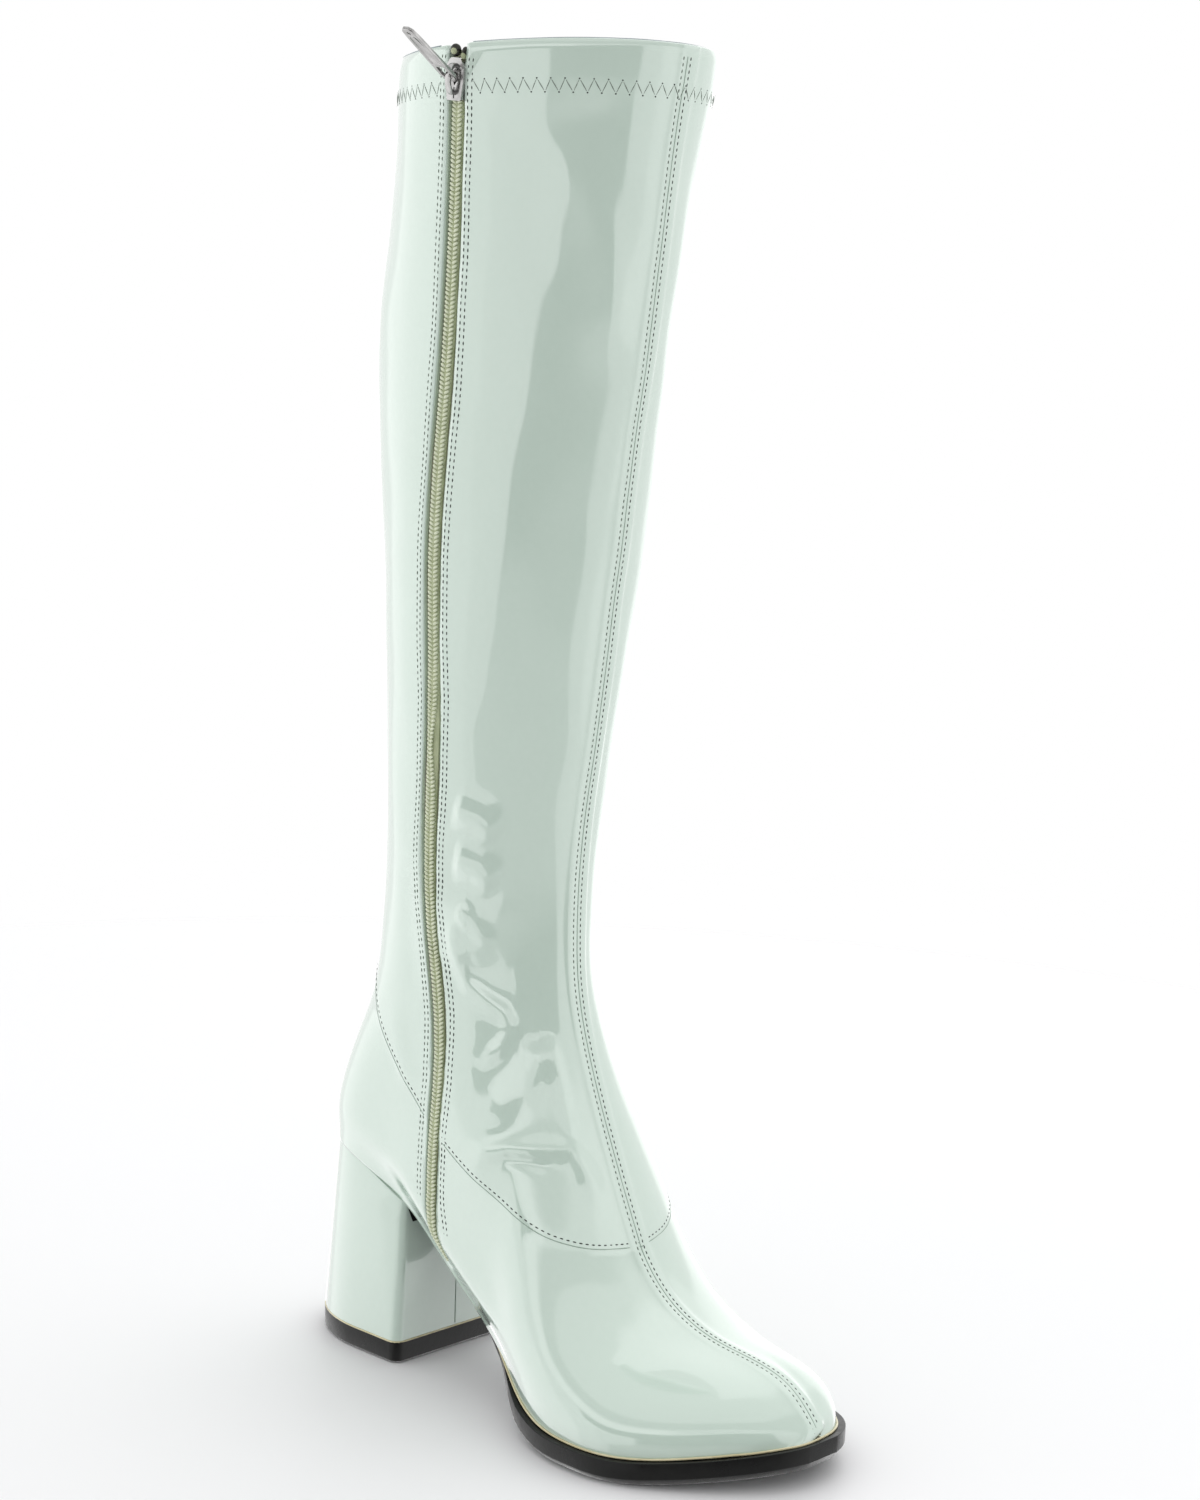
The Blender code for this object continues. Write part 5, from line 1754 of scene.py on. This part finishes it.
    def pull(self) -> None:
        """The pull: a tapered tab with raised rims, a sunk panel, a slot and a tip hole."""
        lift = math.radians(self.lift_deg)
        length = self.outward * math.cos(lift) + self.up * math.sin(lift)
        place = turned_to(self.across, length, self.across.cross(length), self.hinge)
        half, web = 0.55 * MM, 0.28 * MM
        turns = np.linspace(0, math.tau, 13)[:-1]
        hole = [(0.75 * math.cos(t), 24.6 + 0.75 * math.sin(t)) for t in turns]
        tab = plate("zip-tab", TAB, -half, half, place)
        for outline, low, high in (
            (EYE, -2 * half, 2 * half),
            (hole, -2 * half, 2 * half),
            (PANEL, web, 2 * half),
            (PANEL, -2 * half, -web),
        ):
            cut(tab, plate("tool", outline, low, high, place))
        soften_edges(tab, 0.2 * MM)
        smooth_by_angle(tab, 35.0)
        self.wardrobe.hand_in(tab, STEEL, Slot.METAL, Body.PULL)
        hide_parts("zip-pull")

    def knobs(self, name: str, rows: tuple, rings: tuple[int, int], depth: float, out: float):
        """Rounded lumps on the tape, joined.

        Args:
            name: the piece's name.
            rows: places across and up, half widths and half heights, in millimetres.
            rings: how many segments and rings each lump has.
            depth: half its thickness, in millimetres.
            out: how far its middle stands out, in millimetres.

        Returns:
            The piece.
        """
        origin = self.hinge - self.outward * self.hinge_out
        made = []
        for a, c, width, height in rows:
            bpy.ops.object.select_all(action="DESELECT")
            bpy.ops.mesh.primitive_uv_sphere_add(segments=rings[0], ring_count=rings[1], radius=1.0)
            knob = bpy.context.active_object
            knob.scale = (width * MM, height * MM, depth * MM)
            settle(knob)
            centre = origin + self.across * a * MM + self.up * c * MM + self.outward * out * MM
            knob.matrix_world = turned_to(self.across, self.up, self.outward, centre)
            settle(knob)
            made.append(knob)
        piece = joined(name, made)
        piece.data.shade_smooth()
        return piece

    def stops(self) -> None:
        """The two stops above the slider, and the tape's own ends under them."""
        rows = ((-1.6, 9.2, 2.3, 2.1), (3.0, 8.9, 1.1, 1.7))
        stops = self.knobs("zip-stops", rows, (20, 12), 1.3, 0.2)
        self.wardrobe.hand_in(stops, DARK_METAL_AND_PAINTED_SHADE, Slot.METAL)
        rows = ((-1.5, 8.9, 1.5, 1.2), (2.9, 7.6, 0.9, 1.2))
        ends = self.knobs("tape-ends", rows, (16, 8), 1.0, 0.9)
        self.wardrobe.hand_in(ends, COIL_BED, Slot.TAPE)

    def build(self) -> None:
        """Makes the zip's pieces."""
        self.tape()
        self.coil()
        self.slider()
        self.pull()
        self.stops()


# Sole and heel


@dataclass
class Bottom:
    """The outsole, the heel cover, the top-lift and the sock."""

    wardrobe: Wardrobe
    nodes: dict[str, bpy.types.Object]
    surface: Surface
    sharp_deg: float = 40.0
    glue_start: float = 0.0325
    glue_radius: float = 0.42 * MM
    glue_rise: float = 0.4 * MM
    lift_inset: float = 0.35 * MM
    lift_line_radius: float = 0.38 * MM
    breast_low: float = 0.009
    breast_high: float = 0.060
    breast_look: float = 0.7

    def rounded(
        self,
        piece: bpy.types.Object,
        edge: float,
        segments: int,
        finish: Finish,
        slot: Slot,
        smooth_deg: float = 30.0,
    ) -> None:
        """Rounds the edges of a solid's copy, smooths it and hands it in.

        Args:
            piece: the copy.
            edge: the width of its rounded edges.
            segments: how many steps they have.
            finish: what it is dressed in.
            slot: the record's slot.
            smooth_deg: the widest turn that is shaded smooth.
        """
        soften_edges(piece, edge, segments, self.sharp_deg)
        smooth_by_angle(piece, smooth_deg)
        self.wardrobe.hand_in(piece, finish, slot)

    def outsole(self) -> None:
        """The black sole with rounded edges, and the glue line above it."""
        piece = copy_of_node(self.nodes["outsole"], "black-sole")
        rim = upper_rim(piece)
        self.rounded(piece, 0.5 * MM, 3, RUBBER, Slot.SOLE)
        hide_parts("outsole")
        line = []
        for spot in rim:
            if spot.place.x >= self.glue_start:
                edge = self.surface.near(spot.place + Vector((0.0, 0.0, self.glue_rise)))
                line.append(Spot(edge.place.lerp(spot.place, 0.15), spot.normal))
        line = smoothed(resampled(line, 2.0 * MM), 3)
        bead = tube_along("glue-line", line, self.glue_radius, 8, False, 0.05 * MM)
        self.wardrobe.hand_in(bead, GLUE, Slot.SOLE)

    def heel(self) -> None:
        """The covered block with its breast seam, a line of painted shade."""
        piece = copy_of_node(self.nodes["heel"], "heel-cover")
        self.rounded(piece, 0.7 * MM, 3, COVER, Slot.PATENT)
        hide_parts("heel")
        surface = Surface(piece)
        line = []
        for height in np.linspace(self.breast_low, self.breast_high, 30):
            hit = surface.cast(Vector((0.2, 0.002, float(height))), Vector((-1.0, 0.0, 0.0)))
            if hit is not None and hit.normal.x > self.breast_look:
                line.append(hit)
        seam = tube_along("breast-seam-shade", line, 0.3 * MM, 6, False, 0.12 * MM)
        self.wardrobe.hand_in(seam, SEAM_SHADE, Slot.PATENT)

    def top_lift(self) -> None:
        """The black wear piece and the cream line on its top edge."""
        piece = copy_of_node(self.nodes["top-lift"], "heel-lift")
        rim = upper_rim(piece)
        self.rounded(piece, 0.35 * MM, 2, RUBBER, Slot.SOLE)
        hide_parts("top-lift")
        spots = resampled(rim + rim[:1], 1.5 * MM)[:-1]
        line = [Spot(spot.place - spot.normal * self.lift_inset, spot.normal) for spot in spots]
        bead = tube_along("heel-line", line, self.lift_line_radius, 8, True, 0.0)
        self.wardrobe.hand_in(bead, GLUE, Slot.SOLE)

    def sock(self) -> None:
        """The padded sock over the footbed."""
        piece = copy_of_node(self.nodes["insole"], "foot-sock")
        self.rounded(piece, 0.5 * MM, 2, SOCK, Slot.LINING, 35.0)
        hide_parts("insole")

    def build(self) -> None:
        """Makes the pieces under and inside the foot."""
        self.outsole()
        self.heel()
        self.top_lift()
        self.sock()


# Stage


@dataclass
class Stage:
    """A pale floor that fades into a white room, its light and the camera."""

    floor_reach: float = 2.4
    floor_place: tuple[float, float, float] = (0.08, 0.0, -0.0004)
    floor_fade: tuple[float, float] = (0.22, 1.05)
    camera_side_deg: float = 46.0
    camera_place: tuple[float, float] = (0.05125, 0.3619)
    camera_distance: float = 0.9375
    camera_around_deg: float = 44.10
    camera_turn_deg: float = -2.03
    camera_down_deg: float = 7.975
    camera_tilt_deg: float = 1.748
    lens_pixels: float = 2637.7
    photo_pixels: float = 1500.0
    sensor_mm: float = 36.0
    # Degrees to the right of the camera as the boot faces it, and brightness.
    bands: tuple[tuple[float, float], ...] = (
        (-180.0, 1.45), (-168.0, 1.45), (-164.0, 1.00), (-142.0, 1.00), (-138.0, 1.35),
        (-84.0, 1.50), (-80.0, 1.22), (-60.0, 1.26), (-56.0, 1.12), (39.0, 1.12),
        (43.0, 1.05), (60.0, 1.10), (64.0, 1.35), (82.0, 1.40), (86.0, 1.10),
        (104.0, 1.10), (110.0, 1.02), (136.0, 1.02), (142.0, 1.45), (180.0, 1.45),
    )

    def floor(self) -> None:
        """Lays a round floor that fades out with distance."""
        bpy.ops.object.select_all(action="DESELECT")
        bpy.ops.mesh.primitive_circle_add(
            vertices=96, radius=self.floor_reach, fill_type="NGON", location=self.floor_place
        )
        floor = bpy.context.active_object
        floor.name = "floor"
        settle(floor)
        material = bpy.data.materials.new("pale-floor")
        material.use_nodes = True
        wires = Wiring(material.node_tree)
        shader = material.node_tree.nodes["Principled BSDF"]
        place = wires.node("ShaderNodeTexCoord").outputs["Object"]
        away = wires.node("ShaderNodeVectorMath", operation="LENGTH")
        wires.feed(away, in_0=place)
        clear = wires.spread(away.outputs["Value"], *self.floor_fade, 1.0, 0.0)
        grain = wires.noise(place, 900.0)
        bump = wires.node("ShaderNodeBump")
        wires.feed(bump, Strength=0.05, Distance=0.0002, Height=grain)
        wires.feed(
            shader,
            Base_Color=(0.91, 0.91, 0.92, 1.0),
            Roughness=0.55,
            Alpha=clear,
            Normal=bump.outputs["Normal"],
        )
        floor.data.materials.append(material)
        floor.visible_glossy = False

    def banded(self, wires: Wiring, bearing):
        """The bands of light around the room, by the bearing in radians."""
        ramp = wires.node("ShaderNodeValToRGB")
        wires.feed(ramp, Fac=wires.maths("MULTIPLY_ADD", bearing, 1.0 / math.tau, 0.5))
        stops = ramp.color_ramp.elements
        while len(stops) > 1:
            stops.remove(stops[-1])
        for i, (degrees, light) in enumerate(self.bands):
            at = 0.5 + degrees / 360.0
            stop = stops[0] if i == 0 else stops.new(at)
            stop.position = at
            stop.color = (light, light, light, 1.0)
        return ramp.outputs[0]

    def dark_side(self, wires: Wiring, rise, bearing):
        """The share of the dark side of the room, whose left edge leans away as it rises.

        Each step is a start and an end up the room, and how far left or right the edge is there.
        """
        steps = (
            (0.20, 0.28, -0.46, 0.00),
            (0.26, 0.40, 0.0, 0.80),
            (-0.38, -0.29, -0.38, 0.0),
            (0.00, 0.05, 0.0, -0.70),
            (0.18, 0.25, 0.0, 0.70),
        )
        left = wires.chain("ADD", *(wires.spread(rise, *step) for step in steps))
        inside = wires.spread(wires.maths("SUBTRACT", bearing, left), -0.03, 0.03)
        return wires.maths("MULTIPLY", inside, wires.spread(bearing, 0.68, 0.75, 1.0, 0.0))

    def room(self) -> None:
        """Fills the room with light that is white to the camera and banded in reflections.

        A rise runs from -1 straight down to 1 straight up. A bearing is in radians, to the right
        of the camera as the boot faces it.
        """
        world = bpy.data.worlds.new("studio-room")
        bpy.context.scene.world = world
        world.use_nodes = True
        world.node_tree.nodes.clear()
        wires = Wiring(world.node_tree)
        split = wires.node("ShaderNodeSeparateXYZ")
        wires.feed(split, Vector=wires.node("ShaderNodeTexCoord").outputs["Generated"])
        rise = split.outputs[2]
        turn = wires.maths("ARCTAN2", split.outputs[1], split.outputs[0])
        from_camera = wires.maths("ADD", turn, math.radians(self.camera_side_deg))
        bearing = wires.maths("WRAP", from_camera, math.pi, -math.pi)
        dim = wires.grey(wires.spread(rise, -0.36, -0.14, 0.62, 0.20))
        light = wires.mix(self.dark_side(wires, rise, bearing), self.banded(wires, bearing), dim)
        under = wires.spread(rise, -0.92, -0.74, 1.0, 0.0)
        light = wires.mix(under, light, (0.60, 0.60, 0.60, 1.0))
        # A bright pane on the left, which only the upper flanks of the folds turn to.
        pane = wires.chain(
            "MULTIPLY",
            wires.spread(rise, 0.22, 0.27),
            wires.spread(rise, 0.40, 0.45, 1.0, 0.0),
            wires.spread(bearing, -1.40, -1.30),
            wires.spread(bearing, -0.25, -0.15, 1.0, 0.0),
        )
        light = wires.mix(pane, light, (1.55, 1.55, 1.55, 1.0))
        wall = wires.grey(wires.spread(bearing, 1.2, 1.7, 0.66, 1.30))
        light = wires.mix(wires.spread(rise, 0.44, 0.50), light, wall)
        sky = wires.grey(wires.spread(bearing, 1.5, 2.1, 1.06, 1.55))
        light = wires.mix(wires.spread(rise, 0.66, 0.72), light, sky)
        path = wires.node("ShaderNodeLightPath")
        seen = wires.mix(path.outputs["Is Camera Ray"], light, (1.0, 1.0, 1.0, 1.0))
        backdrop = wires.feed(wires.node("ShaderNodeBackground"), Color=seen, Strength=1.0)
        wires.feed(wires.node("ShaderNodeOutputWorld"), Surface=backdrop.outputs[0])

    def camera(self) -> None:
        """Sets the camera where the photograph was taken from."""
        around = math.radians(self.camera_around_deg)
        down = math.radians(self.camera_down_deg)
        tilt = math.radians(self.camera_tilt_deg)
        back = Vector((math.cos(around), -math.sin(around), 0.0))
        along, height = self.camera_place
        place = Vector((along, 0.0, height)) + back * self.camera_distance
        level = Matrix.Rotation(math.radians(self.camera_turn_deg), 3, "Z") @ -back
        ahead = (level * math.cos(down) + Vector((0.0, 0.0, -math.sin(down)))).normalized()
        right = ahead.cross(Vector((0.0, 0.0, 1.0))).normalized()
        up = right.cross(ahead)
        across = right * math.cos(tilt) + up * math.sin(tilt)
        above = up * math.cos(tilt) - right * math.sin(tilt)
        data = bpy.data.cameras.new("photo-camera")
        data.lens = self.lens_pixels / self.photo_pixels * self.sensor_mm
        data.sensor_width = self.sensor_mm
        data.clip_start, data.clip_end = 0.01, 50.0
        camera = bpy.data.objects.new("photo-camera", data)
        camera.matrix_world = turned_to(across, above, -ahead, place)
        bpy.context.scene.collection.objects.link(camera)
        bpy.context.scene.camera = camera

    def build(self) -> None:
        """Sets up the floor, the room and the camera."""
        self.floor()
        self.room()
        self.camera()
        view = bpy.context.scene.view_settings
        view.view_transform = "Standard"
        LOG.info("stage set")


def main() -> None:
    """Builds the boot's pieces in order."""
    logging.basicConfig(level=logging.INFO, format="%(name)s: %(message)s")
    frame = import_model()
    wardrobe = Wardrobe()
    Stage().build()
    upper = Upper(wardrobe, frame["nodes"]["upper"])
    upper.build()
    Stitching(wardrobe, upper.surface).build()
    Zip(wardrobe, frame["nodes"]).build()
    Bottom(wardrobe, frame["nodes"], upper.surface).build()


if __name__ == "__main__":
    main()
